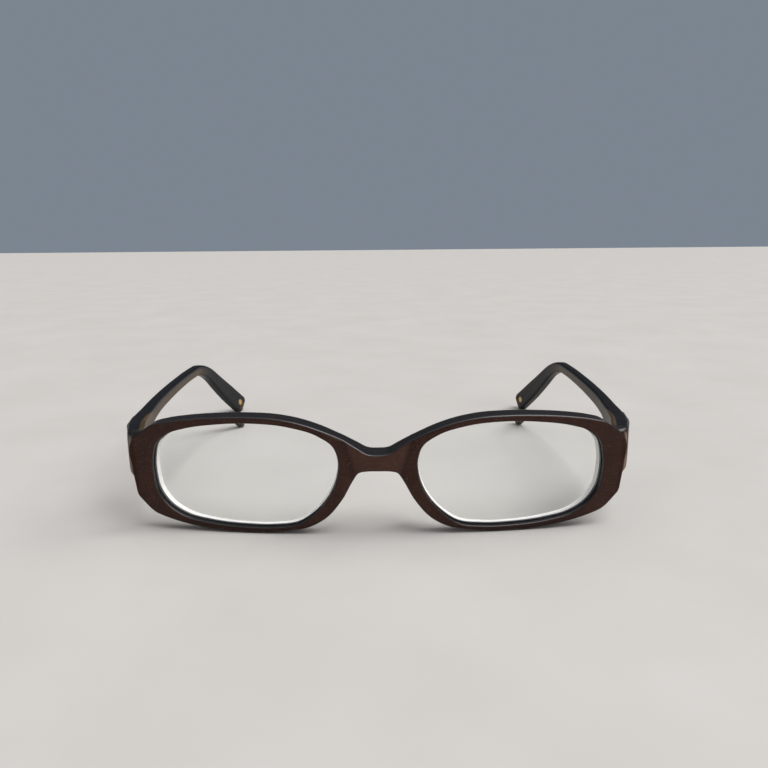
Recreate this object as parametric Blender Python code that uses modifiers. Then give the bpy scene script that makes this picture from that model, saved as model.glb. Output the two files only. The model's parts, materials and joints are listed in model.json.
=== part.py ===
"""Full-rim acetate spectacles: a glazed front and two folding temples on barrel hinges.

Frame: X across the face (+X is the wearer's left), -Y the way the lenses look, +Z up. The
origin is under the middle of the spectacles as they stand open on a table: the table is
z = 0, and the rims' lower edges and the temple tips rest on it.

The front is drawn flat, in (u, s, w): u across, s up, w back from the front face. wrap()
then bends it round a vertical cylinder and leans its top forwards.
"""

import math

import bmesh
import bpy
from mathutils import Matrix, Vector

MM = 0.001
NAME = "acetate_spectacles"

# Front
WRAP_RADIUS = 350 * MM
LEAN = math.radians(6)
FRONT_THICK = 4.5 * MM
EDGE_ROUND = 0.45 * MM
FRONT_Y = -67.25 * MM
FRONT_Z = -0.13 * MM

# Half of the outer outline in mm, from the top of the bridge over the rim to its underside.
# The rim stands on the flat between u = 37 and u = 33.
OUTER_HALF = [
    (0, 22.9), (2.6, 23.15), (5.4, 24.8), (9.5, 27.3), (14, 29.5), (19, 31.3), (26, 32.7),
    (34, 33.0), (42, 32.65), (50, 31.8), (56, 30.7), (59.6, 29.6), (62.3, 27.7), (65.3, 25.2),
    (66.0, 23.9), (66.0, 17.0), (65.5, 11.4), (64.4, 9.0), (62.2, 6.2), (60.2, 4.5),
    (55.2, 2.4), (47, 0.75), (40, 0.03), (37, 0), (33, 0), (30.5, 0.03), (24.5, 0.75),
    (18.6, 1.95), (13.8, 4.8), (9.4, 10.2), (6.4, 15.6), (4.9, 17.7), (2.8, 18.25), (0, 18.35),
]
OPENING = [
    (33, 31.3), (42, 30.7), (50, 29.3), (55.2, 27.4), (58.4, 24.4), (59.6, 20.5), (59.9, 15.5),
    (59.2, 10.8), (56.6, 6.75), (52.4, 4.0), (45, 2.3), (36, 1.6), (28, 1.7), (21.5, 2.8),
    (16.5, 6.4), (12.3, 12), (10.4, 17.5), (10.2, 21), (11.6, 25.2), (15.3, 28.1), (22, 30.3),
]
# Corners of the block behind the bridge, as (u, s, w) in mm, for one side.
BRIDGE_HULL = [
    (8.2, 22.75, 3.6), (7.6, 18.45, 3.6), (4.4, 22.7, 5.9), (4.4, 18.5, 5.9), (2.2, 22.6, 6.3),
    (2.2, 18.6, 6.3),
]
OUTER_STEPS = 3
OPENING_STEPS = 3

# Lens: a minus meniscus whose V-shaped edge sits in a groove of the rim
LENS_CENTRE = (33.0, 17.0)
LENS_APEX = 1.5 * MM
LENS_MIDDLE = 1.7 * MM
LENS_FRONT_RADIUS = 300 * MM
LENS_BACK_RADIUS = 76 * MM
BEVEL_W = 2.75 * MM
BEVEL_HEIGHT = 0.75 * MM
BEVEL_SLOPE = 0.865
LENS_GAP = 0.1 * MM

# Nose pads, glued behind the nose side of each rim
PAD_CENTRE = (10.9 * MM, 9.6 * MM, 5.2 * MM)
PAD_HALF = (1.25 * MM, 5.2 * MM, 2.6 * MM)
PAD_TILT = math.radians(34)

# Temple: its front end meets the back of the front at the joint plane
JOINT_Y = 8.7 * MM
JOINT_GAP = 0.3 * MM
TRIM_X = 62.0 * MM
TRIM_LOW_Z = 14.2 * MM
TEMPLE_CORNER = 0.9 * MM
# Stations along the straight run: distance behind the joint plane, middle X, middle Z,
# thickness and height, all in mm.
TEMPLE_RUN = [
    (-2, 64.9, 20.5, 4.6, 11.5), (3, 65.75, 20.6, 4.6, 11.45), (8, 66.6, 20.95, 4.6, 10.9),
    (12, 67.3, 21.8, 4.45, 9.4), (17, 68.2, 23.2, 4.1, 6.9), (24, 69.4, 24.3, 3.6, 5.0),
    (34, 70.8, 24.8, 3.3, 4.4), (48, 72.0, 25.1, 3.3, 4.3), (66, 72.7, 25.4, 3.3, 4.3),
    (80, 72.8, 25.45, 3.35, 4.5),
]
BEND_START = (87, 72.6, 25.4)
BEND_RADIUS = 24.0
BEND_ANGLE = math.radians(36)
TIP_RUN = 29.3
TIP_INWARD = 8.0
TIP_HEIGHTS = (4.7, 5.6, 6.7, 7.4, 7.3)
TIP_THICK = 3.6
TIP_STATIONS = 8
END_SHARES = (0.45, 0.8, 1.0)  # where the rounded end has its stations

# Hinge: three front barrels and two temple barrels on one screw
AXIS_X = 61.6 * MM
AXIS_Y = 9.3 * MM
AXIS_Z = 20.6 * MM
BARREL_RADIUS = 1.15 * MM
BARREL_HEIGHT = 1.25 * MM
BARREL_GAP = 0.1 * MM
BORE_RADIUS = 0.75 * MM
SHANK_RADIUS = 0.64 * MM
SCREW_HEAD_RADIUS = 1.05 * MM
SCREW_HEAD_HEIGHT = 0.55 * MM
LEAF_THICK = 0.9 * MM
LEAF_HALF_HEIGHT = 3.3 * MM
LEAF_LENGTH = 14.4 * MM
LEAF_TURN = math.radians(-9.6)
LEAF_PROUD = 0.15 * MM
SEAT_GAP = 0.1 * MM
RIVETS_Y = (5.4 * MM, 10.6 * MM)
RIVET_RADIUS = 0.6 * MM
RIVET_HEAD_RADIUS = 1.05 * MM
RIVET_HEAD_HEIGHT = 0.3 * MM
RIVET_LENGTH = 3.0 * MM
ANCHOR_RADIUS = 0.75 * MM

# Small fittings
WIRE_RADIUS = 0.6 * MM
WIRE_LEAD = Vector((66.45, 13.6, 21.6))
WIRE_FROM = 19
WIRE_STOPS_SHORT = 6  # stations left solid at the tip
CHANNEL_RADIUS = 0.8 * MM
PLAQUE_LENGTH = 12.0 * MM
PLAQUE_HEIGHT = 5.4 * MM
PLAQUE_Y = 9.2 * MM
PLAQUE_DEEP = 0.6 * MM
PLAQUE_PROUD = 0.75 * MM
INLAY_RADIUS = 1.3 * MM
INLAY_DEEP = 0.6 * MM
INLAY_PROUD = 0.1 * MM
INLAY_FROM_END = 1.6  # mm before the tip starts to round off

SIDES = {"left": 1, "right": -1}


def clear_scene():
    for obj in list(bpy.data.objects):
        bpy.data.objects.remove(obj)


def new_collection(name, hidden=False):
    collection = bpy.data.collections.new(name)
    bpy.context.scene.collection.children.link(collection)
    collection.hide_render = hidden
    return collection


def new_material(name, colour, roughness, metallic=0.0, transmission=0.0):
    material = bpy.data.materials.new(name)
    material.use_nodes = True
    shader = material.node_tree.nodes["Principled BSDF"]
    shader.inputs["Base Color"].default_value = (*colour, 1)
    shader.inputs["Roughness"].default_value = roughness
    shader.inputs["Metallic"].default_value = metallic
    shader.inputs["Transmission Weight"].default_value = transmission
    return material


# ---------------------------------------------------------------- objects


def add_object(name, mesh, collection):
    obj = bpy.data.objects.new(name, mesh)
    collection.objects.link(obj)
    return obj


def from_bmesh(name, bm, collection):
    bmesh.ops.recalc_face_normals(bm, faces=bm.faces)
    mesh = bpy.data.meshes.new(name)
    bm.to_mesh(mesh)
    bm.free()
    return add_object(name, mesh, collection)


def as_cutter(obj):
    obj.hide_render = True
    obj.display_type = "WIRE"
    return obj


def box(name, low, high, collection, matrix=None):
    bm = bmesh.new()
    middle = (Vector(low) + Vector(high)) / 2
    size = Vector(high) - Vector(low)
    bmesh.ops.create_cube(bm, size=1, matrix=Matrix.Translation(middle) @ Matrix.Diagonal((*size, 1)))
    if matrix:
        bm.transform(matrix)
    return from_bmesh(name, bm, collection)


def rod(name, radius, start, end, collection, segments=16, matrix=None):
    """A cylinder between two points."""
    start, end = Vector(start), Vector(end)
    along = end - start
    turn = along.to_track_quat("Z", "Y").to_matrix().to_4x4()
    bm = bmesh.new()
    bmesh.ops.create_cone(
        bm, cap_ends=True, segments=segments, radius1=radius, radius2=radius, depth=along.length,
        matrix=Matrix.Translation((start + end) / 2) @ turn,
    )
    if matrix:
        bm.transform(matrix)
    return from_bmesh(name, bm, collection)


def turned(name, profile, collection, steps=20):
    """A profile of (radius, height), top to bottom, turned about Z by a Screw modifier."""
    bm = bmesh.new()
    verts = [bm.verts.new((radius, 0, height)) for radius, height in profile]
    for a, b in zip(verts, verts[1:]):
        bm.edges.new((a, b))
    mesh = bpy.data.meshes.new(name)
    bm.to_mesh(mesh)
    bm.free()
    obj = add_object(name, mesh, collection)
    screw = obj.modifiers.new("turn", "SCREW")
    screw.steps = screw.render_steps = steps
    screw.use_merge_vertices = True
    screw.merge_threshold = 1e-6
    return obj


def loft(name, rings, collection):
    """A closed skin over rings of equally many points, with a flat cap at each end."""
    bm = bmesh.new()
    loops = [[bm.verts.new(point) for point in ring] for ring in rings]
    count = len(loops[0])
    for lower, upper in zip(loops, loops[1:]):
        for i in range(count):
            j = (i + 1) % count
            bm.faces.new((lower[i], lower[j], upper[j], upper[i]))
    bm.faces.new(loops[0][::-1])
    bm.faces.new(loops[-1])
    return from_bmesh(name, bm, collection)


def boolean(target, other, operation="DIFFERENCE"):
    modifier = target.modifiers.new(other.name, "BOOLEAN")
    modifier.operation = operation
    modifier.object = as_cutter(other)


def bake(obj):
    """Applies the object's modifiers and its place, so that its mesh is in world space."""
    graph = bpy.context.evaluated_depsgraph_get()
    mesh = bpy.data.meshes.new_from_object(obj.evaluated_get(graph))
    mesh.transform(obj.matrix_world)
    obj.modifiers.clear()
    obj.data = mesh
    obj.matrix_world = Matrix()
    return obj


def mirror_copy(obj, name, collection):
    mesh = obj.data.copy()
    mesh.transform(Matrix.Scale(-1, 4, (1, 0, 0)))
    mesh.flip_normals()
    return add_object(name, mesh, collection)


# ---------------------------------------------------------------- outlines


def smooth_outline(points, steps, closed=True):
    """A cubic through the points, with tangents set by the chords on either side."""
    points = [Vector(p) for p in points]
    count = len(points)

    def tangent(i):
        if not closed and i in (0, count - 1):
            return Vector((1, 0)) if i == 0 else Vector((-1, 0))
        before = points[i] - points[i - 1]
        after = points[(i + 1) % count] - points[i]
        a, b = before.length, after.length
        return (before / a * b + after / b * a) / (a + b)

    outline = []
    for i in range(count if closed else count - 1):
        start, end = points[i], points[(i + 1) % count]
        chord = (end - start).length
        out, into = tangent(i) * chord, tangent((i + 1) % count) * chord
        for k in range(steps):
            t = k / steps
            outline.append(
                start * (2 * t**3 - 3 * t**2 + 1) + out * (t**3 - 2 * t**2 + t)
                + end * (3 * t**2 - 2 * t**3) + into * (t**3 - t**2)
            )
    if not closed:
        outline.append(points[-1])
    return outline


def outer_outline():
    half = smooth_outline(OUTER_HALF, OUTER_STEPS, closed=False)
    other = [Vector((-p.x, p.y)) for p in half[-2:0:-1]]
    return half + other


def offset(outline, distance):
    """The outline moved outwards by a distance; it runs clockwise."""
    count = len(outline)
    moved = []
    for i, point in enumerate(outline):
        along = (outline[(i + 1) % count] - outline[i - 1]).normalized()
        moved.append(point + Vector((-along.y, along.x)) * distance)
    return moved


def wrap(u, s, w):
    """A point of the flat front, bent round the cylinder, leaned forwards and put in place."""
    angle = u / WRAP_RADIUS
    x = (WRAP_RADIUS - w) * math.sin(angle)
    back = WRAP_RADIUS - (WRAP_RADIUS - w) * math.cos(angle)
    y = back * math.cos(LEAN) - s * math.sin(LEAN)
    z = s * math.cos(LEAN) + back * math.sin(LEAN)
    return Vector((x, y + FRONT_Y, z + FRONT_Z))


def wrap_mesh(obj):
    for vertex in obj.data.vertices:
        vertex.co = wrap(*vertex.co)
    obj.data.flip_normals()  # (u, s, w) is left-handed against (x, y, z)


# ---------------------------------------------------------------- front and lenses


def flat_front(collection):
    """The face outline and its two openings, extruded, with rounded edges."""
    curve = bpy.data.curves.new("front_outline", "CURVE")
    curve.dimensions = "2D"
    curve.fill_mode = "BOTH"
    curve.extrude = FRONT_THICK / 2 - EDGE_ROUND
    curve.bevel_depth = EDGE_ROUND
    curve.bevel_resolution = 1
    curve.offset = -EDGE_ROUND
    opening = smooth_outline(OPENING, OPENING_STEPS)
    for outline in (outer_outline(), opening, [Vector((-p.x, p.y)) for p in opening]):
        spline = curve.splines.new("POLY")
        spline.points.add(len(outline) - 1)
        for point, place in zip(spline.points, outline):
            point.co = (place.x * MM, place.y * MM, 0, 1)
        spline.use_cyclic_u = True
    drawn = add_object("front_drawn", curve, collection)
    graph = bpy.context.evaluated_depsgraph_get()
    mesh = bpy.data.meshes.new_from_object(drawn.evaluated_get(graph))
    bpy.data.objects.remove(drawn)
    bm = bmesh.new()
    bm.from_mesh(mesh)
    bmesh.ops.remove_doubles(bm, verts=bm.verts, dist=1e-6)
    bm.transform(Matrix.Translation((0, 0, FRONT_THICK / 2)))
    return from_bmesh("front_frame", bm, collection)


def end_lug(collection, side):
    """The end piece: it widens from the face's corner to the temple's front end."""
    face_side = [
        (59.8, 28.4), (61.9, 27.2), (64.8, 24.9), (65.4, 23.6), (65.4, 17.0), (65.0, 12.2), (60.9, 12.2),
    ]
    joint_side = [
        (62.7, 26.3), (66.6, 26.3), (67.5, 25.5), (67.5, 15.6), (66.6, 14.8), (62.7, 14.8),
    ]
    back = FRONT_Y + JOINT_Y - JOINT_GAP / 2
    bm = bmesh.new()
    for u, s in face_side:
        bm.verts.new(wrap(u * MM, s * MM, 1.2 * MM))
    for x, z in joint_side:
        bm.verts.new((x * MM, back, z * MM))
    for vertex in bm.verts:
        vertex.co.x *= side
    bmesh.ops.convex_hull(bm, input=bm.verts)
    return from_bmesh(f"end_lug_{side}", bm, collection)


def bridge_back(collection):
    """The thicker back of the bridge, faired into the rims on both sides."""
    bm = bmesh.new()
    for u, s, w in BRIDGE_HULL:
        for sign in (1, -1):
            bm.verts.new(wrap(sign * u * MM, s * MM, w * MM))
    bmesh.ops.convex_hull(bm, input=bm.verts)
    return from_bmesh("bridge_back", bm, collection)


def lens_sag(radius, distance):
    return radius - math.sqrt(radius**2 - distance**2)


def lens_surfaces(u, s):
    """Depths of the front and back surfaces at a point of the flat lens, in metres."""
    across = (u - LENS_CENTRE[0]) * MM
    up = (s - LENS_CENTRE[1]) * MM
    front = LENS_APEX + lens_sag(LENS_FRONT_RADIUS, up)
    distance = math.hypot(across, up)
    thick = LENS_MIDDLE + lens_sag(LENS_BACK_RADIUS, distance) - lens_sag(LENS_FRONT_RADIUS, distance)
    return front, front + thick


def lens(collection, side):
    outline = smooth_outline(OPENING, OPENING_STEPS)
    land = offset(outline, -LENS_GAP / MM)
    apex = offset(outline, (BEVEL_HEIGHT - LENS_GAP) / MM)
    centre = Vector(LENS_CENTRE)

    def surface_ring(share, which):
        ring = []
        for point in land:
            place = centre.lerp(point, share)
            ring.append((place, lens_surfaces(*place)[which]))
        return ring

    half_bevel = BEVEL_HEIGHT * BEVEL_SLOPE
    rings = [surface_ring(share, 0) for share in (0.12, 0.4, 0.7, 1)]
    rings.append([(p, BEVEL_W - half_bevel) for p in land])
    rings.append([(p, BEVEL_W) for p in apex])
    rings.append([(p, BEVEL_W + half_bevel) for p in land])
    rings += [surface_ring(share, 1) for share in (1, 0.85, 0.7, 0.4, 0.12)]
    placed = [[wrap(side * p.x * MM, p.y * MM, w) for p, w in ring] for ring in rings]
    return loft("lens", placed, collection)


def groove(collection, side):
    """A disc with a V-shaped edge, that cuts the rim's groove and nothing else."""
    outline = smooth_outline(OPENING, OPENING_STEPS)
    inside = 1.2 * MM
    outside = BEVEL_HEIGHT + 0.05 * MM
    half_width = (inside + outside) * BEVEL_SLOPE
    rings = [
        [(p, BEVEL_W + shift) for p in offset(outline, distance / MM)]
        for distance, shift in ((-inside, -half_width), (outside, 0), (-inside, half_width))
    ]
    placed = [[wrap(side * p.x * MM, p.y * MM, w) for p, w in ring] for ring in rings]
    return loft(f"groove_{side}", placed, collection)


def nose_pad(collection):
    """Half an egg, flat where it is glued to the back of the rim."""
    bm = bmesh.new()
    turn = Matrix.Rotation(PAD_TILT, 4, "Z")
    bmesh.ops.create_uvsphere(
        bm, u_segments=16, v_segments=12, radius=1,
        matrix=Matrix.Translation(PAD_CENTRE) @ turn @ Matrix.Diagonal((*PAD_HALF, 1)),
    )
    base = FRONT_THICK + SEAT_GAP
    cut = bmesh.ops.bisect_plane(
        bm, geom=bm.verts[:] + bm.edges[:] + bm.faces[:], plane_co=(0, 0, base), plane_no=(0, 0, -1),
        clear_outer=True,
    )
    bmesh.ops.contextual_create(bm, geom=[e for e in cut["geom_cut"] if isinstance(e, bmesh.types.BMEdge)])
    pad = from_bmesh("nose_pad_left", bm, collection)
    wrap_mesh(pad)
    return pad


# ---------------------------------------------------------------- temple


def temple_stations():
    """(middle, direction, thickness, height) along the temple in mm, from the joint to the tip."""
    stations = []
    for y, x, z, thick, high in TEMPLE_RUN:
        stations.append([Vector((x, y, z)), thick, high])
    y0, x0, z0 = BEND_START
    bend_length = BEND_RADIUS * BEND_ANGLE
    for k in range(TIP_STATIONS + 1):
        run = (bend_length + TIP_RUN) * k / TIP_STATIONS
        angle = min(run / BEND_RADIUS, BEND_ANGLE)
        straight = max(run - bend_length, 0)
        y = y0 + BEND_RADIUS * math.sin(angle) + straight * math.cos(BEND_ANGLE)
        z = z0 - BEND_RADIUS * (1 - math.cos(angle)) - straight * math.sin(BEND_ANGLE)
        share = k / TIP_STATIONS
        x = x0 - TIP_INWARD * share**1.5
        place = share * (len(TIP_HEIGHTS) - 1)
        i = min(int(place), len(TIP_HEIGHTS) - 2)
        high = TIP_HEIGHTS[i] + (TIP_HEIGHTS[i + 1] - TIP_HEIGHTS[i]) * (place - i)
        thick = TEMPLE_RUN[-1][3] + (TIP_THICK - TEMPLE_RUN[-1][3]) * min(1, 2 * share)
        stations.append([Vector((x, y, z)), thick, high])
    placed = []
    for i, (middle, thick, high) in enumerate(stations):
        before = stations[max(i - 1, 0)][0]
        after = stations[min(i + 1, len(stations) - 1)][0]
        placed.append((middle, (after - before).normalized(), thick, high))
    middle, along, thick, high = placed[-1]
    for share in END_SHARES:
        shrink = math.sqrt(1 - (0.97 * share) ** 2)
        reach = high / 2 * share
        placed.append((middle + along * reach, along, thick * (0.35 + 0.65 * shrink), high * shrink))
    return placed


def temple_axes(along):
    """The temple's own outward and upward directions at a station."""
    outward = along.cross(Vector((0, 0, 1))).normalized()
    return outward, outward.cross(along).normalized()


def to_row(point):
    """A temple point in mm, measured from the joint plane, in the object's frame."""
    return Vector((point.x * MM, point.y * MM + FRONT_Y + JOINT_Y, point.z * MM))


def section(middle, along, thick, high, corner, per_corner=3):
    """A rounded rectangle across the temple."""
    outward, up = temple_axes(along)
    corner = min(corner, 0.46 * thick, 0.46 * high)
    ring = []
    for quarter in range(4):
        sign_x = (1, -1, -1, 1)[quarter]
        sign_z = (1, 1, -1, -1)[quarter]
        for k in range(per_corner):
            angle = math.pi / 2 * (quarter + k / (per_corner - 1))
            x = sign_x * (thick / 2 - corner) + corner * math.cos(angle)
            z = sign_z * (high / 2 - corner) + corner * math.sin(angle)
            ring.append(to_row(middle + outward * x + up * z))
    return ring


def temple_body(collection):
    rings = [section(*station, TEMPLE_CORNER / MM) for station in temple_stations()]
    body = loft("temple_left", rings, collection)
    bm = bmesh.new()
    bm.from_mesh(body.data)
    start = FRONT_Y + JOINT_Y + JOINT_GAP / 2
    cut = bmesh.ops.bisect_plane(
        bm, geom=bm.verts[:] + bm.edges[:] + bm.faces[:], plane_co=(0, start, 0), plane_no=(0, -1, 0),
        clear_outer=True,
    )
    bmesh.ops.contextual_create(bm, geom=[e for e in cut["geom_cut"] if isinstance(e, bmesh.types.BMEdge)])
    bmesh.ops.recalc_face_normals(bm, faces=bm.faces)
    bm.to_mesh(body.data)
    bm.free()
    return body


def wire_path():
    """Middle of the core wire's channel in mm: it opens into the hinge leaf's seat."""
    behind_hinge = [middle for middle, *_ in temple_stations() if middle.y > WIRE_FROM]
    path = behind_hinge[:-WIRE_STOPS_SHORT]
    return [WIRE_LEAD, WIRE_LEAD.lerp(path[0], 0.55)] + path


def wire(name, radius, path, collection):
    curve = bpy.data.curves.new(name, "CURVE")
    curve.dimensions = "3D"
    curve.bevel_depth = radius
    curve.bevel_resolution = 2
    curve.use_fill_caps = True
    spline = curve.splines.new("POLY")
    spline.points.add(len(path) - 1)
    for point, place in zip(spline.points, path):
        point.co = (*to_row(place), 1)
    drawn = add_object(name + "_drawn", curve, collection)
    graph = bpy.context.evaluated_depsgraph_get()
    mesh = bpy.data.meshes.new_from_object(drawn.evaluated_get(graph))
    bpy.data.objects.remove(drawn)
    bm = bmesh.new()
    bm.from_mesh(mesh)
    bmesh.ops.remove_doubles(bm, verts=bm.verts, dist=1e-6)
    return from_bmesh(name, bm, collection)


# ---------------------------------------------------------------- hinge


def hinge_frame():
    """Local frame of the temple leaf: x outwards, y along the temple, on the hinge axis."""
    place = Matrix.Translation((AXIS_X, FRONT_Y + AXIS_Y, AXIS_Z))
    return place @ Matrix.Rotation(LEAF_TURN, 4, "Z")


def leaf_depth():
    """Distance from the hinge axis out to the temple's inner face, in the leaf's frame."""
    y, x, _, thick, _ = TEMPLE_RUN[1]
    inner = Vector(((x - thick / 2) * MM, y * MM + JOINT_Y))
    along = Vector((math.sin(-LEAF_TURN), math.cos(LEAF_TURN)))
    reach = inner - Vector((AXIS_X, AXIS_Y))
    return reach.x * along.y - reach.y * along.x


def barrel_spans():
    """Low and high ends of the five barrels, from the bottom, about the hinge's middle."""
    pitch = BARREL_HEIGHT + BARREL_GAP
    low = -2.5 * BARREL_HEIGHT - 2 * BARREL_GAP
    return [(low + i * pitch, low + i * pitch + BARREL_HEIGHT) for i in range(5)]


def add_barrels(leaf, spans, neck_low, neck_high, matrix, collection):
    """Joins a barrel and its neck to the leaf for each span, then bores the screw's hole."""
    for i, (low, high) in enumerate(spans):
        neck = box(f"{leaf.name}_neck_{i}", (*neck_low, low), (*neck_high, high), collection, matrix)
        barrel = rod(
            f"{leaf.name}_barrel_{i}", BARREL_RADIUS, (0, 0, low), (0, 0, high), collection, 20, matrix
        )
        boolean(leaf, neck, "UNION")
        boolean(leaf, barrel, "UNION")
    reach = 5 * MM
    bore = rod(f"{leaf.name}_bore", BORE_RADIUS, (0, 0, -reach), (0, 0, reach), collection, 16, matrix)
    boolean(leaf, bore)


def front_leaf(parts, cutters):
    """A plate sunk in the back of the end piece, with three barrels and two anchor pegs."""
    matrix = Matrix.Translation((AXIS_X, FRONT_Y + AXIS_Y, AXIS_Z))
    back = -BARREL_RADIUS - 0.15 * MM
    low = (-0.8 * MM, back - LEAF_THICK, -LEAF_HALF_HEIGHT)
    high = (4.6 * MM, back, LEAF_HALF_HEIGHT)
    leaf = box("front_hinge_leaf_left", low, high, parts, matrix)
    seat_low = Vector(low) - Vector((SEAT_GAP,) * 3)
    seat_high = Vector((high[0] + SEAT_GAP, 2 * MM, high[2] + SEAT_GAP))
    seat = box("front_leaf_seat", seat_low, seat_high, cutters, matrix)
    seats = [seat]
    for i, z in enumerate((-1.6 * MM, 1.6 * MM)):
        start = (2.7 * MM, back - LEAF_THICK / 2, z)
        end = (2.7 * MM, back - LEAF_THICK - 1.5 * MM, z)
        peg = rod(f"anchor_{i}", ANCHOR_RADIUS, start, end, cutters, 12, matrix)
        boolean(leaf, peg, "UNION")
        end = (2.7 * MM, back - LEAF_THICK - 1.7 * MM, z)
        seats.append(rod(f"anchor_seat_{i}", ANCHOR_RADIUS + SEAT_GAP, start, end, cutters, 12, matrix))
    neck_low = (-0.75 * MM, back - LEAF_THICK / 2)
    neck_high = (0.7 * MM, 0)
    add_barrels(leaf, barrel_spans()[0::2], neck_low, neck_high, matrix, cutters)
    return leaf, seats


def temple_leaf(parts, cutters):
    """A plate let into the temple's inner face, with two barrels."""
    matrix = hinge_frame()
    depth = leaf_depth()
    inner = depth - LEAF_PROUD
    low = (inner, 0.9 * MM, -LEAF_HALF_HEIGHT)
    high = (inner + LEAF_THICK, LEAF_LENGTH, LEAF_HALF_HEIGHT)
    leaf = box("temple_hinge_leaf_left", low, high, parts, matrix)
    seat_low = (inner - 1 * MM, -1 * MM, low[2] - SEAT_GAP)
    seat_high = Vector(high) + Vector((SEAT_GAP,) * 3)
    seats = [box("temple_leaf_seat", seat_low, seat_high, cutters, matrix)]
    seats.append(
        rod("barrel_clearance", BARREL_RADIUS + 0.25 * MM, (0, 0, -4 * MM), (0, 0, 4.2 * MM), cutters, 20, matrix)
    )
    neck_low = (0, -0.7 * MM)
    neck_high = (inner + LEAF_THICK / 2, 0.7 * MM)
    spans = barrel_spans()[1::2]
    add_barrels(leaf, spans, neck_low, neck_high, matrix, cutters)
    for i, (span_low, span_high) in enumerate(spans):
        arm_low = (inner, 0, span_low)
        arm_high = (inner + LEAF_THICK, 1.5 * MM, span_high)
        boolean(leaf, box(f"temple_leaf_arm_{i}", arm_low, arm_high, cutters, matrix), "UNION")
    rivets = []
    for i, y in enumerate(RIVETS_Y):
        hole = rod(
            f"rivet_hole_{i}", RIVET_RADIUS + SEAT_GAP, (inner - 1 * MM, y, 0),
            (inner + RIVET_LENGTH + SEAT_GAP, y, 0), cutters, 14, matrix,
        )
        boolean(leaf, hole)
        seats.append(hole)
        rivets.append(rivet(("front", "rear")[i], matrix, inner, y, parts))
    return leaf, seats, rivets


def rivet(place, matrix, inner, y, collection):
    """A domed head against the leaf and a plain shank in the temple."""
    top = SEAT_GAP / 2 + RIVET_HEAD_HEIGHT
    profile = [
        (0, top), (RIVET_HEAD_RADIUS * 0.6, top - 0.06 * MM), (RIVET_HEAD_RADIUS, SEAT_GAP / 2 + 0.1 * MM),
        (RIVET_HEAD_RADIUS, SEAT_GAP / 2), (RIVET_RADIUS, SEAT_GAP / 2), (RIVET_RADIUS, -RIVET_LENGTH),
        (0, -RIVET_LENGTH),
    ]
    obj = turned(f"temple_rivet_{place}_left", profile, collection, 14)
    obj.matrix_world = matrix @ Matrix.Translation((inner, y, 0)) @ Matrix.Rotation(-math.pi / 2, 4, "Y")
    return obj


def hinge_screw(parts, cutters):
    """A slotted cheese-head screw dropped through the five barrels."""
    spans = barrel_spans()
    top = spans[-1][1] + BARREL_GAP / 2
    foot = spans[0][0] - 0.25 * MM
    profile = [
        (0, top + SCREW_HEAD_HEIGHT), (SCREW_HEAD_RADIUS * 0.85, top + SCREW_HEAD_HEIGHT),
        (SCREW_HEAD_RADIUS, top + SCREW_HEAD_HEIGHT * 0.7), (SCREW_HEAD_RADIUS, top),
        (SHANK_RADIUS, top), (SHANK_RADIUS, foot + 0.2 * MM), (SHANK_RADIUS * 0.6, foot), (0, foot),
    ]
    screw = turned("hinge_screw_left", profile, parts, 16)
    screw.location = (AXIS_X, FRONT_Y + AXIS_Y, AXIS_Z)
    slot = box(
        "screw_slot", (-2 * MM, -0.16 * MM, top + 0.3 * MM), (2 * MM, 0.16 * MM, top + 1 * MM), cutters,
        Matrix.Translation(screw.location) @ Matrix.Rotation(0.6, 4, "Z"),
    )
    boolean(screw, slot)
    return screw


# ---------------------------------------------------------------- fittings


def plaque(parts, cutters):
    """A plain plate with rounded corners, let into the temple's outer face."""
    y, x, z, thick, _ = TEMPLE_RUN[2]
    middle = to_row(Vector((x, y, z))) + Vector((0, PLAQUE_Y - y * MM, 0))
    middle.x += math.tan(-LEAF_TURN) * (PLAQUE_Y - y * MM)
    matrix = Matrix.Translation(middle) @ Matrix.Rotation(LEAF_TURN, 4, "Z")
    face = thick / 2 * MM
    half = Vector((0, PLAQUE_LENGTH / 2, PLAQUE_HEIGHT / 2))
    low = Vector((face - PLAQUE_DEEP, 0, 0)) - half
    high = Vector((face + PLAQUE_PROUD, 0, 0)) + half
    plate = box("temple_plaque_left", low, high, parts, matrix)
    bevel = plate.modifiers.new("rounded", "BEVEL")
    bevel.width = 0.5 * MM
    bevel.segments = 2
    gap = Vector((SEAT_GAP,) * 3)
    seat = box("plaque_seat", low - gap, high + gap + Vector((1 * MM, 0, 0)), cutters, matrix)
    return plate, seat


def tip_inlay(parts, cutters):
    """A small metal disc let into the inner face near the end of the tip."""
    stations = temple_stations()
    middle, along, thick, _ = stations[-1 - len(END_SHARES)]
    outward, _ = temple_axes(along)
    centre = middle - along * INLAY_FROM_END
    inner = centre - outward * (thick / 2)
    start = to_row(inner - outward * (INLAY_PROUD / MM))
    end = to_row(inner + outward * (INLAY_DEEP / MM))
    disc = rod("tip_inlay_left", INLAY_RADIUS, start, end, parts, 20)
    seat_start = to_row(inner - outward)
    seat_end = to_row(inner + outward * ((INLAY_DEEP + SEAT_GAP) / MM))
    seat = rod("inlay_seat", INLAY_RADIUS + SEAT_GAP, seat_start, seat_end, cutters, 20)
    return disc, seat


# ---------------------------------------------------------------- assembly


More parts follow.
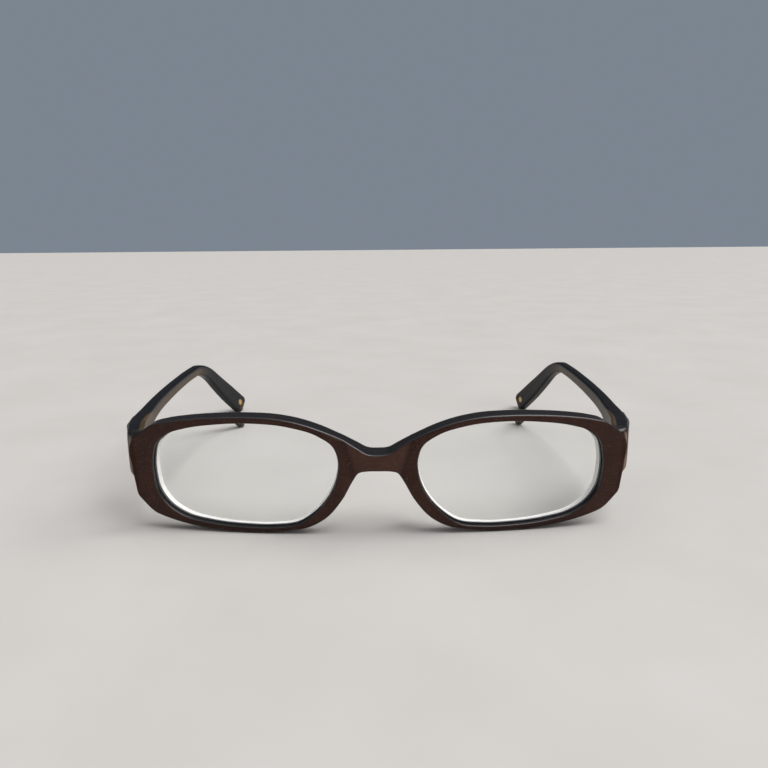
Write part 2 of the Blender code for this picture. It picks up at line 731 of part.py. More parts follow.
def build_left_side(parts, cutters):
    """Every piece of the wearer's left temple and hinge, with the seats that they need."""
    temple = temple_body(parts)
    leaf, leaf_seats, rivets = temple_leaf(parts, cutters)
    front_half, front_seats = front_leaf(parts, cutters)
    screw = hinge_screw(parts, cutters)
    plate, plate_seat = plaque(parts, cutters)
    disc, disc_seat = tip_inlay(parts, cutters)
    path = wire_path()
    core = wire("core_wire_left", WIRE_RADIUS, path[1:-1], parts)
    channel = wire("wire_channel", CHANNEL_RADIUS, path, cutters)
    for seat in leaf_seats + [plate_seat, disc_seat, channel]:
        boolean(temple, seat)
    for obj in [temple, leaf, front_half, screw, plate, disc, core] + rivets:
        bake(obj)
    still = [front_half, screw]
    moving = [temple, leaf, plate, disc, core] + rivets
    return still, moving, front_seats


def build_front(parts, cutters, front_seats):
    front = flat_front(parts)
    wrap_mesh(front)
    for side in SIDES.values():
        boolean(front, end_lug(cutters, side), "UNION")
    boolean(front, bridge_back(cutters), "UNION")
    for side in SIDES.values():
        boolean(front, groove(cutters, side))
    face = FRONT_Y + JOINT_Y - JOINT_GAP / 2
    trim = box(
        "joint_trim", (TRIM_X, face, TRIM_LOW_Z), (80 * MM, face + 5 * MM, 40 * MM), cutters
    )
    clearance = rod(
        "front_barrel_clearance", BARREL_RADIUS + 0.12 * MM,
        (AXIS_X, FRONT_Y + AXIS_Y, AXIS_Z - 4 * MM), (AXIS_X, FRONT_Y + AXIS_Y, AXIS_Z + 4.2 * MM), cutters, 20,
    )
    for seat in front_seats + [trim, clearance]:
        boolean(front, seat)
        boolean(front, mirror_copy(seat, seat.name + "_right", cutters))
    return bake(front)


def pivot(side, collection):
    empty = bpy.data.objects.new(f"temple_{side}_pivot", None)
    empty.location = (SIDES[side] * AXIS_X, FRONT_Y + AXIS_Y, AXIS_Z)
    collection.objects.link(empty)
    return empty


def finish(obj, material):
    obj.data.materials.clear()
    obj.data.materials.append(material)
    obj.data.shade_smooth()
    obj.data.set_sharp_from_angle(angle=math.radians(35))


def main():
    clear_scene()
    parts = new_collection(NAME)
    cutters = new_collection("cutters", hidden=True)
    brown = new_material("brown_acetate", (0.055, 0.03, 0.025), 0.4)
    black = new_material("black_acetate", (0.012, 0.012, 0.014), 0.35)
    clear = new_material("clear_lens", (0.95, 0.97, 0.96), 0.02, transmission=1.0)
    steel = new_material("hinge_steel", (0.55, 0.55, 0.57), 0.3, metallic=1.0)
    gunmetal = new_material("plaque_metal", (0.12, 0.12, 0.13), 0.35, metallic=1.0)
    gold = new_material("inlay_gold", (0.6, 0.43, 0.18), 0.3, metallic=1.0)

    still, moving, front_seats = build_left_side(parts, cutters)
    front = build_front(parts, cutters, front_seats)
    finish(front, brown)

    pad = nose_pad(parts)
    still.append(pad)
    for side, sign in SIDES.items():
        glass = lens(parts, sign)
        glass.name = f"lens_{side}"
        finish(glass, clear)

    finishes = {
        "nose_pad": black, "temple_left": black, "plaque": gunmetal, "inlay": gold,
    }
    for group in (still, moving):
        for obj in group:
            found = [m for key, m in finishes.items() if key in obj.name]
            finish(obj, found[0] if found else steel)
    right_moving = []
    for obj in still + moving:
        copy = mirror_copy(obj, obj.name.replace("_left", "_right"), parts)
        if obj in moving:
            right_moving.append(copy)
    for side, group in (("left", moving), ("right", right_moving)):
        empty = pivot(side, parts)
        bpy.context.view_layer.update()
        for obj in group:
            obj.parent = empty
            obj.matrix_parent_inverse = empty.matrix_world.inverted()


main()
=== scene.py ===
"""The finished looks of a pair of acetate spectacles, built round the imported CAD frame.

Lengths are in millimetres until a piece is placed, then metres in the frame's own axes: +X is the
wearer's left, -Y the way the lenses look, +Z up. The front is drawn flat as (u, s, w), across, up
and back from the face, and wrap() bends it and leans it. Every left-hand piece is built once and
mirrored for the right.
"""

import json
import math

import bmesh
import bpy
import numpy as np
from mathutils import Matrix, Vector

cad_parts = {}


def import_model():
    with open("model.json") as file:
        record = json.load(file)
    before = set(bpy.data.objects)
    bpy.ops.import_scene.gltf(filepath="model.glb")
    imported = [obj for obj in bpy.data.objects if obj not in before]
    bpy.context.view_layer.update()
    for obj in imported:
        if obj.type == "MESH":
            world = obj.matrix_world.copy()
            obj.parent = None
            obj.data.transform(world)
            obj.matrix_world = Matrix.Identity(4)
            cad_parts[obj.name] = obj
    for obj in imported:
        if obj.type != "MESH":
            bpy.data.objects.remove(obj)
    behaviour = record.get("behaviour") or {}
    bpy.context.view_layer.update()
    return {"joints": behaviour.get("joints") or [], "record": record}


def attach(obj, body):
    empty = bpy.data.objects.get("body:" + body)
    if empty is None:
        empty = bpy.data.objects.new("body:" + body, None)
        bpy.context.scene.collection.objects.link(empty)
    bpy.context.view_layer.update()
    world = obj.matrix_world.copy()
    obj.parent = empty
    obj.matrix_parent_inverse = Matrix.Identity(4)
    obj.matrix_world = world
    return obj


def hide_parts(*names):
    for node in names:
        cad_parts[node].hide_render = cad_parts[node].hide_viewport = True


MM = 0.001
FRONT_BODY = "front_body"
TEMPLE_BODY = {"left": "left_temple_body", "right": "right_temple_body"}

# Front
WRAP_RADIUS = 350.0
LEAN = math.radians(6)
FOOT = (35.0, 0.0, 2.25)  # the mount's place on the flat front, which fixes the front in the frame
THICK = 4.5
BRIDGE_THICK = 6.3
BRIDGE_REACH = 13.0
EDGE_ROUND = 0.5
INNER_ROUND = 0.35
BACK_ROUND = 0.6
BRIDGE_ROUND = 1.1
CREASE_LOW = (6.0, 16.5)
CREASE_HIGH = (8.7, 26.0)
CREASE_DEPTH = 0.7
CREASE_FADE = 5.5
OUTLINE_POINTS = 230
MIDDLE_POINTS = 9  # between the ends of the outline, up the middle plane
MIDDLE_SNAP = 0.02
FACE_RINGS = 16
OUTER_HALF = [
    (0, 22.9), (2.6, 23.15), (5.4, 24.8), (9.5, 27.3), (14, 29.5), (19, 31.3), (26, 32.7),
    (34, 33.0), (42, 32.65), (50, 31.8), (56, 30.7), (59.6, 29.6), (62.3, 27.7), (65.3, 25.2),
    (66.0, 23.9), (66.0, 17.0), (65.6, 12.0), (65.3, 9.6), (65.0, 8.9), (64.5, 8.3), (61.4, 4.9),
    (60.6, 4.3), (59.6, 3.85), (55.2, 2.4), (47, 0.75), (40, 0.03), (37, 0), (33, 0), (30.5, 0.03),
    (24.5, 0.75), (18.6, 1.95), (13.8, 4.8), (9.4, 10.2), (6.4, 15.6), (4.9, 17.7), (2.8, 18.25),
    (0, 18.35),
]
OPENING = [
    (33, 31.3), (42, 30.7), (50, 29.3), (55.2, 27.4), (58.4, 24.4), (59.6, 20.5), (59.9, 15.5),
    (59.2, 10.8), (56.6, 6.75), (52.4, 4.0), (45, 2.3), (36, 1.6), (28, 1.7), (21.5, 2.8),
    (16.5, 6.4), (12.3, 12), (10.4, 17.5), (10.2, 21), (11.6, 25.2), (15.3, 28.1), (22, 30.3),
]

# Marks on the front, the seam and the painted shade: the places on the flat front between which each
# kind comes or goes
SIDE_ACROSS = (64.2, 65.0)
SIDE_TOP = (24.5, 26.0)
FOOT_SHADE_TOP = (1.0, 4.5)
CREASE_SHADE_WIDTH = 0.7

# End piece: corners on the flat front, and corners (X, Z) at the joint face
LUG_FACE = [
    (59.4, 28.8), (62.0, 27.3), (64.9, 24.9), (65.5, 23.6), (65.5, 17.0), (65.0, 11.6), (60.6, 11.6),
]
LUG_JOINT = [(62.2, 27.1), (66.8, 27.1), (67.6, 26.3), (67.6, 15.4), (66.8, 14.6), (62.2, 14.6)]
LUG_FROM = 1.1
LUG_CUT = 0.16
LUG_POINTS = 72
LUG_RINGS = 12
LUG_SWELL = 1.1
JOINT_DEPTH = 8.7
JOINT_GAP = 0.3

# Lens
LENS_CENTRE = (33.0, 17.0)
LENS_APEX = 1.1
LENS_MIDDLE = 1.7
LENS_FRONT_RADIUS = 300.0
LENS_BACK_RADIUS = 98.0
BEVEL_DEPTH = 2.75
BEVEL_HEIGHT = 0.3
BEVEL_SLOPE = 1.6
LENS_GAP = 0.1
GROOVE_GAP = 0.05
LENS_POINTS = 192

# Nose pad
PAD_CENTRE = (10.9, 9.6)
PAD_HALF = (1.25, 5.2)
PAD_TILT = math.radians(34)
PAD_BASE = 4.3
PAD_TOP = 7.8
PAD_FLARE = 0.35
PAD_FLARE_FADE = 0.4
PAD_CROWN = 2.4
PAD_LEAN = 0.35

# Temple stations: distance behind the joint, middle X, middle Z, thickness, height
TEMPLE_RUN = [
    (0.15, 65.40, 20.9, 4.40, 12.3), (3, 66.25, 20.95, 4.50, 12.2), (8, 67.80, 21.3, 4.80, 11.5),
    (12, 68.80, 22.05, 4.60, 9.9), (17, 69.65, 23.35, 4.30, 7.2), (24, 70.55, 24.3, 3.90, 5.1),
    (34, 71.62, 24.85, 3.45, 4.5), (48, 72.55, 25.3, 3.30, 4.2), (66, 73.00, 25.85, 3.20, 3.9),
    (78, 73.00, 26.1, 3.20, 3.8), (85, 72.80, 26.15, 3.20, 3.8),
]
BEND_RADIUS = 30.0
BEND_ANGLE = math.radians(37.2)
TIP_RUN = 26.9
TIP_INWARD = 8.0
TIP_HEIGHTS = (3.8, 4.5, 5.8, 7.1, 7.5)
TIP_THICK = 3.6
TIP_ROUND = 2.4
TIP_REACH = 2.9
TEMPLE_ROUND = 0.9
TEMPLE_CROWN = 0.18
LAYER_THICK = ((8, 25), (1.3, 0.3))  # the inner layer, thinned by milling behind the hinge
LAYER_LEAN = ((8, 30), (0.0, 0.9))  # and leaning, so that it stops below the inner side's top edge
OLIVE_FADE = (84.0, 96.0)  # where the brown layer on the inner side thins out
TIP_BARE = (122.5, 124.0)  # and where it shows again

# Hinge, about its axis
LEAF_TURN = math.radians(-15.3)
BARREL_RADIUS = 1.15
BARREL_HEIGHT = 1.25
BARREL_GAP = 0.1
LEAF_THICK = 0.9
LEAF_HALF_HEIGHT = 3.3
LEAF_EDGE = 0.12
LEAF_RUN = (0.9, 14.4)
LEAF_PROUD = 0.15
FRONT_LEAF_RUN = (-0.8, 4.6)
FRONT_LEAF_BEHIND = 0.15  # between the barrels and the leaf sunk in the end piece
POCKET_ACROSS = (-0.95, 4.75)
POCKET_ALONG = (-2.3, 3.0)
POCKET_GAP = 0.1
NECK_WIDTH = 0.7
BORE_RADIUS = 0.75
SCREW_RADIUS = 0.64
SCREW_HEAD = 1.05
RIVETS = {"front": 5.4, "rear": 10.6}
RIVET_HEAD = 1.05
RIVET_SHANK = (0.6, 2.6)
WIRE_RUN = (14.5, 112.0)
WIRE_RADIUS = 0.6

# Plate on the temple's outer side, with its stud, and the disc in the tip's inner side
PLAQUE_BEHIND = 12.8
PLAQUE_HEIGHT = 23.9
PLAQUE_HALF = (5.2, 2.4)
PLAQUE_TURN = math.radians(-10)
PLAQUE_DEEP = 1.4
PLAQUE_PROUD = 0.5
STUD_RADIUS = 0.5
STUD_PLACE = (1.3, 0.9)  # from the plate's front end, and above its middle
INLAY_FROM_END = 1.6

# Stage
FLOOR_REACH = 4000.0
FLOOR_DROP = 0.12  # below the frame's zero, so that it clears the lowest rounded edge
CAMERA_PLACE = (1.75, -168.0, 77.2)  # X and Z in the frame, Y from the foot of the front's face
CAMERA_DOWN = math.radians(12.2)
CAMERA_ROLL = math.radians(-0.5)
CAMERA_SENSOR = 36.0
CAMERA_LENS = 31.875

# Mesh and material settings
QUARTER_TURN = np.linspace(0, math.pi / 2, 5)
POLE_RADIUS = 0.01  # the smallest ring of a turned piece
WELD = 0.002
SLIVER = 5e-7  # metres
BUMP_DEPTH = 5e-5  # metres
PLAQUE_WEAR = 3e-4  # metres
EVEN = (1000, 1000, 1000)  # texture scale that makes coordinates mm along every axis
ACETATE_IOR = 1.49
LENS_IOR = 1.56
SWAP_XY = Matrix(((0, 1, 0, 0), (1, 0, 0, 0), (0, 0, 1, 0), (0, 0, 0, 1)))
QUARTERS = ((1, 1), (-1, 1), (-1, -1), (1, -1))  # the signs of a rectangle's corners, in turn


# ------------------------ curves and placing


def cubic(t, start, out, end, into):
    """The point at t on a cubic between two points with these tangents."""
    return (
        start * (2 * t**3 - 3 * t**2 + 1) + out * (t**3 - 2 * t**2 + t)
        + end * (3 * t**2 - 2 * t**3) + into * (t**3 - t**2)
    )


def smooth(points, steps, closed=True):
    """A cubic through the points, with tangents set by the chords on either side."""
    points = np.array(points, float)
    count = len(points)

    def tangent(i):
        if not closed and i in (0, count - 1):
            return np.array((1.0, 0.0) if i == 0 else (-1.0, 0.0))
        before = points[i] - points[i - 1]
        after = points[(i + 1) % count] - points[i]
        a, b = np.linalg.norm(before), np.linalg.norm(after)
        return (before / a * b + after / b * a) / (a + b)

    line = []
    for i in range(count if closed else count - 1):
        start, end = points[i], points[(i + 1) % count]
        chord = np.linalg.norm(end - start)
        out, into = tangent(i) * chord, tangent((i + 1) % count) * chord
        line += [cubic(t, start, out, end, into) for t in np.arange(steps) / steps]
    if not closed:
        line.append(points[-1])
    return np.array(line)


class Curve:
    """A polyline that can be sampled by its length."""

    def __init__(self, points, closed):
        self.points = np.vstack([points, points[:1]]) if closed else np.array(points)
        steps = np.linalg.norm(np.diff(self.points, axis=0), axis=1)
        self.at = np.concatenate([[0], np.cumsum(steps)])
        self.length = self.at[-1]
        self.closed = closed

    def sample(self, where):
        where = np.asarray(where, float)
        if self.closed:
            where = where % self.length
        return np.stack([np.interp(where, self.at, axis) for axis in self.points.T], -1)

    def normals(self, where, reach=0.3):
        """Unit normals to the left of the way it runs: outwards, for a clockwise outline."""
        ahead = self.sample(where + reach if self.closed else np.minimum(where + reach, self.length))
        behind = self.sample(where - reach if self.closed else np.maximum(where - reach, 0))
        along = ahead - behind
        along /= np.linalg.norm(along, axis=1, keepdims=True)
        return np.stack([-along[:, 1], along[:, 0]], -1)

    def nearest(self, places):
        """Lengths along the curve of the points nearest to these places."""
        start, step = self.points[:-1], np.diff(self.points, axis=0)
        found = []
        for place in places:
            share = np.clip(((place - start) * step).sum(1) / (step**2).sum(1), 0, 1)
            away = np.linalg.norm(start + step * share[:, None] - place, axis=1)
            i = int(np.argmin(away))
            found.append(self.at[i] + share[i] * np.linalg.norm(step[i]))
        return np.array(found)


def bend(u, s, w):
    """(u, s, w) bent round the cylinder and leaned forwards, before it is put in place."""
    angle = u / WRAP_RADIUS
    back = WRAP_RADIUS - (WRAP_RADIUS - w) * np.cos(angle)
    x = (WRAP_RADIUS - w) * np.sin(angle)
    y = back * math.cos(LEAN) - s * math.sin(LEAN)
    z = s * math.cos(LEAN) + back * math.sin(LEAN)
    return np.stack(np.broadcast_arrays(x, y, z), -1)


class Place:
    """Where things sit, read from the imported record."""

    def __init__(self, record, joints):
        foot = next(m for m in record["mounts"] if m["name"] == "rim_foot_left")
        self.front = np.array(foot["pos_m"]) / MM - bend(*map(np.array, FOOT))
        joint = next(j for j in joints if j["child"] == TEMPLE_BODY["left"])
        self.axis = np.array(joint["pos_m"]) / MM
        self.joint_y = self.front[1] + JOINT_DEPTH

    def wrap(self, u, s, w):
        return bend(np.asarray(u, float), np.asarray(s, float), np.asarray(w, float)) + self.front

    def depth(self, points):
        """(u, s, w) of points in the frame: the inverse of wrap."""
        x, y, z = (points - self.front).T
        back = y * math.cos(LEAN) + z * math.sin(LEAN)
        s = z * math.cos(LEAN) - y * math.sin(LEAN)
        angle = np.arctan2(x, WRAP_RADIUS - back)
        return WRAP_RADIUS * angle, s, WRAP_RADIUS - np.hypot(x, WRAP_RADIUS - back)


# ------------------------ meshes


def add_object(name, bm, angle=32):
    """A mesh object from a bmesh whose points are in mm."""
    bmesh.ops.recalc_face_normals(bm, faces=bm.faces)
    bmesh.ops.scale(bm, vec=(MM, MM, MM), verts=bm.verts)
    mesh = bpy.data.meshes.new(name)
    bm.to_mesh(mesh)
    bm.free()
    mesh.shade_smooth()
    mesh.set_sharp_from_angle(angle=math.radians(angle))
    obj = bpy.data.objects.new(name, mesh)
    bpy.context.scene.collection.objects.link(obj)
    return obj


def add_grid(bm, rows, around=False):
    """Quads over rows of points; each row closes on itself if it runs around."""
    loops = [[bm.verts.new(point) for point in row] for row in rows]
    count = len(loops[0])
    for lower, upper in zip(loops, loops[1:]):
        for i in range(count if around else count - 1):
            j = (i + 1) % count
            bm.faces.new((lower[i], lower[j], upper[j], upper[i]))
    return loops


def lofted(name, rings, angle):
    """A closed skin over rings, with a cap at each end."""
    bm = bmesh.new()
    loops = add_grid(bm, rings, around=True)
    bm.faces.new(loops[0][::-1])
    bm.faces.new(loops[-1])
    return add_object(name, bm, angle)


def turned(name, profile, matrix, steps=40):
    """A profile of (radius, height) turned about the matrix's Z axis."""
    angles = np.linspace(0, 2 * math.pi, steps, endpoint=False)
    rings = []
    for radius, height in profile:
        radius = max(radius, POLE_RADIUS)
        ring = [Vector((radius * math.cos(a), radius * math.sin(a), height)) for a in angles]
        rings.append([matrix @ point for point in ring])
    return lofted(name, rings, 28)


def rounded_box(name, low, high, corner, edge, matrix):
    """A plate in the yz plane with round corners, and its edges rounded off."""
    low, high = Vector(low), Vector(high)
    corners = []
    for quarter, (sign_y, sign_z) in enumerate(QUARTERS):
        y = (high.y if sign_y > 0 else low.y) - sign_y * corner
        z = (high.z if sign_z > 0 else low.z) - sign_z * corner
        for k in range(7):
            angle = math.pi / 2 * (quarter + k / 6)
            corners.append((y, z, math.cos(angle), math.sin(angle)))
    rings = []
    turn = np.linspace(0, math.pi / 2, 4)
    levels = [(low.x + edge * (1 - math.sin(a)), edge * (1 - math.cos(a))) for a in turn[::-1]]
    levels += [(high.x - edge * (1 - math.sin(a)), edge * (1 - math.cos(a))) for a in turn]
    for x, inset in levels:
        radius = corner - inset
        ring = [Vector((x, y + radius * cos, z + radius * sin)) for y, z, cos, sin in corners]
        rings.append([matrix @ point for point in ring])
    return lofted(name, rings, 40)


def boolean(target, other, operation="DIFFERENCE"):
    """Applies a Boolean at once and removes the other object."""
    modifier = target.modifiers.new(other.name, "BOOLEAN")
    modifier.operation = operation
    modifier.object = other
    graph = bpy.context.evaluated_depsgraph_get()
    mesh = bpy.data.meshes.new_from_object(target.evaluated_get(graph))
    target.modifiers.clear()
    target.data = mesh
    bpy.data.objects.remove(other)
    return target


def reshade(obj, angle):
    """Clears the slivers that Booleans leave, and shades again."""
    bm = bmesh.new()
    bm.from_mesh(obj.data)
    bmesh.ops.dissolve_degenerate(bm, dist=SLIVER, edges=bm.edges)
    loose = [vert for vert in bm.verts if not vert.link_faces]
    bmesh.ops.delete(bm, geom=loose, context="VERTS")
    bm.to_mesh(obj.data)
    bm.free()
    obj.data.shade_smooth()
    obj.data.set_sharp_from_angle(angle=math.radians(angle))


def mirrored(obj, name):
    """A copy of an object on the other side of the middle plane."""
    mesh = obj.data.copy()
    mesh.transform(Matrix.Scale(-1, 4, (1, 0, 0)))
    mesh.flip_normals()
    copy = bpy.data.objects.new(name, mesh)
    bpy.context.scene.collection.objects.link(copy)
    return copy


def set_attribute(obj, name, values):
    attribute = obj.data.attributes.new(name, "FLOAT", "POINT")
    attribute.data.foreach_set("value", np.asarray(values, np.float32))


def points_of(obj):
    return np.array([v.co for v in obj.data.vertices], float) / MM


# ------------------------ front


def crease_at(s):
    """How far from the middle the crease beside the bridge lies, at this height."""
    share = (s - CREASE_LOW[1]) / (CREASE_HIGH[1] - CREASE_LOW[1])
    return CREASE_LOW[0] + share * (CREASE_HIGH[0] - CREASE_LOW[0])


def face_depth(u, s):
    """How far the face lies behind its cylinder: a shallow valley at each side of the bridge."""
    u, crease = np.abs(u), crease_at(s)
    panel = (u / crease) ** 2
    rim = np.clip(1 - (u - crease) / CREASE_FADE, 0, 1) ** 1.5
    return CREASE_DEPTH * np.where(u < crease, panel, rim)


def back_depth(u, s):
    """The back of the front: deeper behind the bridge, where it meets the nose."""
    share = np.clip(np.abs(u) / BRIDGE_REACH, 0, 1)
    return THICK + (BRIDGE_THICK - THICK) * (1 - share**2) ** 2


def back_round(u):
    """The radius of the outer edge at the back, softer behind the bridge."""
    share = np.clip(np.abs(u) / BRIDGE_REACH, 0, 1)
    return BACK_ROUND + (BRIDGE_ROUND - BACK_ROUND) * (1 - share**2)


def eased_in(radius, start):
    """(inset, depth) from a face that starts at this depth, round an edge, to the side."""
    return [(radius * (1 - math.sin(a)), start + radius * (1 - math.cos(a))) for a in QUARTER_TURN]


def eased_out(radius, end):
    """(inset, depth) from the side, round an edge, to a back that ends at this depth."""
    return [(radius * (1 - math.cos(a)), end - radius * (1 - math.sin(a))) for a in QUARTER_TURN]


def outer_profile(u, s):
    """Rows of (inset, depth) round the outer edge, from the face to the back."""
    face, back, tail = face_depth(u, s), back_depth(u, s), back_round(u)
    first, last = face + EDGE_ROUND, back - tail
    side = [(0, first + (last - first) * share) for share in (0.12, 0.35, 0.65, 0.88)]
    return eased_in(EDGE_ROUND, face) + side + eased_out(tail, back)


def inner_profile(u, s):
    """Rows of (inset, depth) through the opening, with the lens's groove."""
    face, back = face_depth(u, s), back_depth(u, s)
    reach = BEVEL_HEIGHT + GROOVE_GAP
    half = reach * BEVEL_SLOPE
    side = [(0, (face + INNER_ROUND + BEVEL_DEPTH - half) / 2)]
    side += [(0, BEVEL_DEPTH - half), (reach, BEVEL_DEPTH), (0, BEVEL_DEPTH + half)]
    return eased_in(INNER_ROUND, face) + side + eased_out(INNER_ROUND, back)


def closed_up(points):
    """The half outline's points, and those that close it up the middle plane."""
    share = np.linspace(0, 1, MIDDLE_POINTS + 2)[1:-1, None]
    return np.vstack([points, points[-1] + (points[0] - points[-1]) * share])


def facing_places(opening, outer):
    """Lengths along the opening, one for each outer point: the nearest ones, evened out."""
    near = np.unwrap(opening.nearest(outer), period=opening.length)
    ring = np.concatenate([near, near[:1] + opening.length])
    steps = np.maximum(np.diff(ring), 0.1)
    for _ in range(6):
        steps = (steps + np.roll(steps, 1) + np.roll(steps, -1)) / 3
    return near[0] + np.concatenate([[0], np.cumsum(steps)[:-1]]) * opening.length / steps.sum()


def edge_rows(place, edge, outwards, profile):
    """Rows of points along an edge of the front, one for each (inset, depth) of its profile."""
    rows = []
    for inset, depth in profile(*edge.T):
        at = edge + outwards * np.broadcast_to(inset, len(edge))[:, None]
        rows.append(place.wrap(*at.T, depth))
    return rows


def front_half(place):
    """Half of the front as one sheet that is open at the middle plane."""
    outline = Curve(smooth(OUTER_HALF, 12, closed=False), closed=False)
    opening = Curve(smooth(OPENING, 14), closed=True)
    where = np.linspace(0, outline.length, OUTLINE_POINTS)
    edge, away = outline.sample(where), outline.normals(where)
    around = facing_places(opening, closed_up(edge))
    lip, outwards = opening.sample(around), opening.normals(around)

    bm = bmesh.new()
    add_grid(bm, edge_rows(place, edge, -away, outer_profile))
    add_grid(bm, edge_rows(place, lip, outwards, inner_profile), around=True)
    inner = lip + outwards * INNER_ROUND
    rounds = ((face_depth, np.full(len(edge), EDGE_ROUND)), (back_depth, back_round(edge[:, 0])))
    for surface, rim_round in rounds:
        outer = closed_up(edge - away * rim_round[:, None])
        rows = []
        for share in np.linspace(0, 1, FACE_RINGS + 1):
            at = inner * (1 - share) + outer * share
            # The first and last rows have the depth of their edge, so that they meet its rounding.
            source = lip if share == 0 else closed_up(edge) if share == 1 else at
            rows.append(place.wrap(*at.T, surface(*source.T)))
        add_grid(bm, rows, around=True)
    for vert in bm.verts:  # brings the cut edge exactly onto the middle plane
        if abs(vert.co.x) < MIDDLE_SNAP:
            vert.co.x = 0
    return bm


def rounded_corners(points):
    """A closed polygon with its corners cut three times over."""
    points = np.array(points, float)
    for _ in range(3):
        after = np.roll(points, -1, axis=0)
        ends = [points * (1 - LUG_CUT) + after * LUG_CUT, points * LUG_CUT + after * (1 - LUG_CUT)]
        points = np.stack(ends, 1).reshape(-1, 2)
    return points


def polar_ring(points):
    """Points of a polygon at even angles about its middle."""
    middle = (points.min(0) + points.max(0)) / 2
    curve = Curve(points, closed=True)
    fine = curve.sample(np.linspace(0, curve.length, 2000, endpoint=False))
    angle = np.arctan2(*(fine - middle).T[::-1])
    order = np.argsort(angle)
    angles = np.linspace(-math.pi, math.pi, LUG_POINTS, endpoint=False)
    columns = fine[order].T
    return np.stack([np.interp(angles, angle[order], at, period=2 * math.pi) for at in columns], -1)


def end_piece(place):
    """The end piece, swelling from the face's corner to the joint."""
    start = polar_ring(rounded_corners(LUG_FACE))
    end = polar_ring(rounded_corners(LUG_JOINT))
    joint = place.joint_y - JOINT_GAP / 2
    first = place.wrap(*start.T, LUG_FROM)
    last = np.stack([end[:, 0], np.full(len(end), joint), end[:, 1]], -1)
    middle = last.mean(0)
    rings = []
    for share in np.linspace(0, 1, LUG_RINGS)[:-1]:
        swell = math.sin(share * math.pi / 2) ** LUG_SWELL
        rings.append(first + (last - first) * np.array((swell, share, swell)))
    towards = middle - last
    towards /= np.linalg.norm(towards, axis=1, keepdims=True)
    for inset, before in ((0, 0.3), (0.03, 0.15), (0.1, 0.05), (0.25, 0)):  # the rounded end
        rings.append(last + towards * inset - np.array((0, before, 0)))
    return lofted("end_piece", rings, 40)


def hinge_pocket(place):
    """The space cut out of the end piece for the front leaf and its barrels."""
    half = LEAF_HALF_HEIGHT + POCKET_GAP
    low = (POCKET_ALONG[0], POCKET_ACROSS[0], -half)
    high = (POCKET_ALONG[1], POCKET_ACROSS[1], half)
    return rounded_box("pocket", low, high, 0.5, 0.1, Matrix.Translation(place.axis) @ SWAP_XY)


def build_front(place):
    bm = front_half(place)
    mirror = bm.copy()
    bmesh.ops.scale(mirror, vec=(-1, 1, 1), verts=mirror.verts)
    mesh = bpy.data.meshes.new("half")
    mirror.to_mesh(mesh)
    mirror.free()
    bm.from_mesh(mesh)
    bpy.data.meshes.remove(mesh)
    bmesh.ops.remove_doubles(bm, verts=bm.verts, dist=WELD)
    front = add_object("front_acetate", bm)
    for build, operation in ((end_piece, "UNION"), (hinge_pocket, "DIFFERENCE")):
        tool = build(place)
        other = mirrored(tool, tool.name + "_right")
        boolean(front, tool, operation)
        boolean(front, other, operation)
    reshade(front, 34)
    u, s, w = place.depth(points_of(front))
    set_attribute(front, "depth", w - face_depth(u, s))
    side = np.interp(np.abs(u), SIDE_ACROSS, (0, 1)) * np.interp(s, SIDE_TOP, (1, 0))
    set_attribute(front, "side", side)
    # Painted shade: a dark line along each crease beside the bridge, and the lower rim darker as if
    # turned down into shadow.
    from_crease = np.abs(u) - crease_at(s)
    crease = 0.55 * np.exp(-((from_crease / CREASE_SHADE_WIDTH) ** 2))
    foot = 0.6 * np.interp(s, FOOT_SHADE_TOP, (1, 0))
    set_attribute(front, "shade", np.maximum(crease, foot))
    # Painted highlight: the bridge panel between the creases, made lighter as if it faced the light.
    set_attribute(front, "panel", np.clip(0.5 - from_crease / 1.2, 0, 1))
    return front


# ------------------------ lenses and pads


def sag(radius, distance):
    return radius - np.sqrt(radius**2 - distance**2)


def lens_depths(u, s):
    """(front, back): the depths of the lens's two faces."""
    across, up = u - LENS_CENTRE[0], s - LENS_CENTRE[1]
    front = LENS_APEX + sag(LENS_FRONT_RADIUS, up)
    away = np.hypot(across, up)
    thick = LENS_MIDDLE + sag(LENS_BACK_RADIUS, away) - sag(LENS_FRONT_RADIUS, away)
    return front, front + thick


def build_lens(place):
    """A minus meniscus: polished faces, and a frosted edge with its bevel."""
    opening = Curve(smooth(OPENING, 14), closed=True)
    where = np.linspace(0, opening.length, LENS_POINTS, endpoint=False)
    lip, outwards = opening.sample(where), opening.normals(where)
    centre = np.array(LENS_CENTRE)

    def ring(share, which, inset=0.0, shift=0.0):
        at = centre + (lip - outwards * (LENS_GAP + inset) - centre) * share
        return place.wrap(*at.T, lens_depths(*at.T)[which] + shift)

    def edge(reach, depth):
        at = lip + outwards * reach
        return place.wrap(*at.T, depth)

    half = BEVEL_HEIGHT * BEVEL_SLOPE
    shares = np.linspace(0.02, 0.98, 25)
    rings = [ring(share, 0) for share in shares]
    rings += [ring(1, 0, inset=0.1), ring(1, 0, shift=0.1)]
    first_edge = len(rings) - 2
    rings += [edge(-LENS_GAP, BEVEL_DEPTH - half), edge(BEVEL_HEIGHT - LENS_GAP, BEVEL_DEPTH)]
    rings += [edge(-LENS_GAP, BEVEL_DEPTH + half), ring(1, 1, shift=-0.3), ring(1, 1, inset=0.3)]
    last_edge = len(rings) - 1
    rings += [ring(share, 1) for share in shares[::-1]]
    obj = lofted("lens_glass_left", rings, 20)
    for i, polygon in enumerate(obj.data.polygons):
        polygon.material_index = int(first_edge <= i // LENS_POINTS < last_edge)
    for polygon in obj.data.polygons[-2:]:
        polygon.material_index = 0
    # How far back along the edge each point lies: the frosted edge takes painted shade near the front,
    # where the groove hides it.
    behind = (np.arange(len(obj.data.vertices)) // LENS_POINTS - first_edge) / (last_edge - first_edge)
    set_attribute(obj, "behind", np.clip(behind, 0, 1))
    return obj


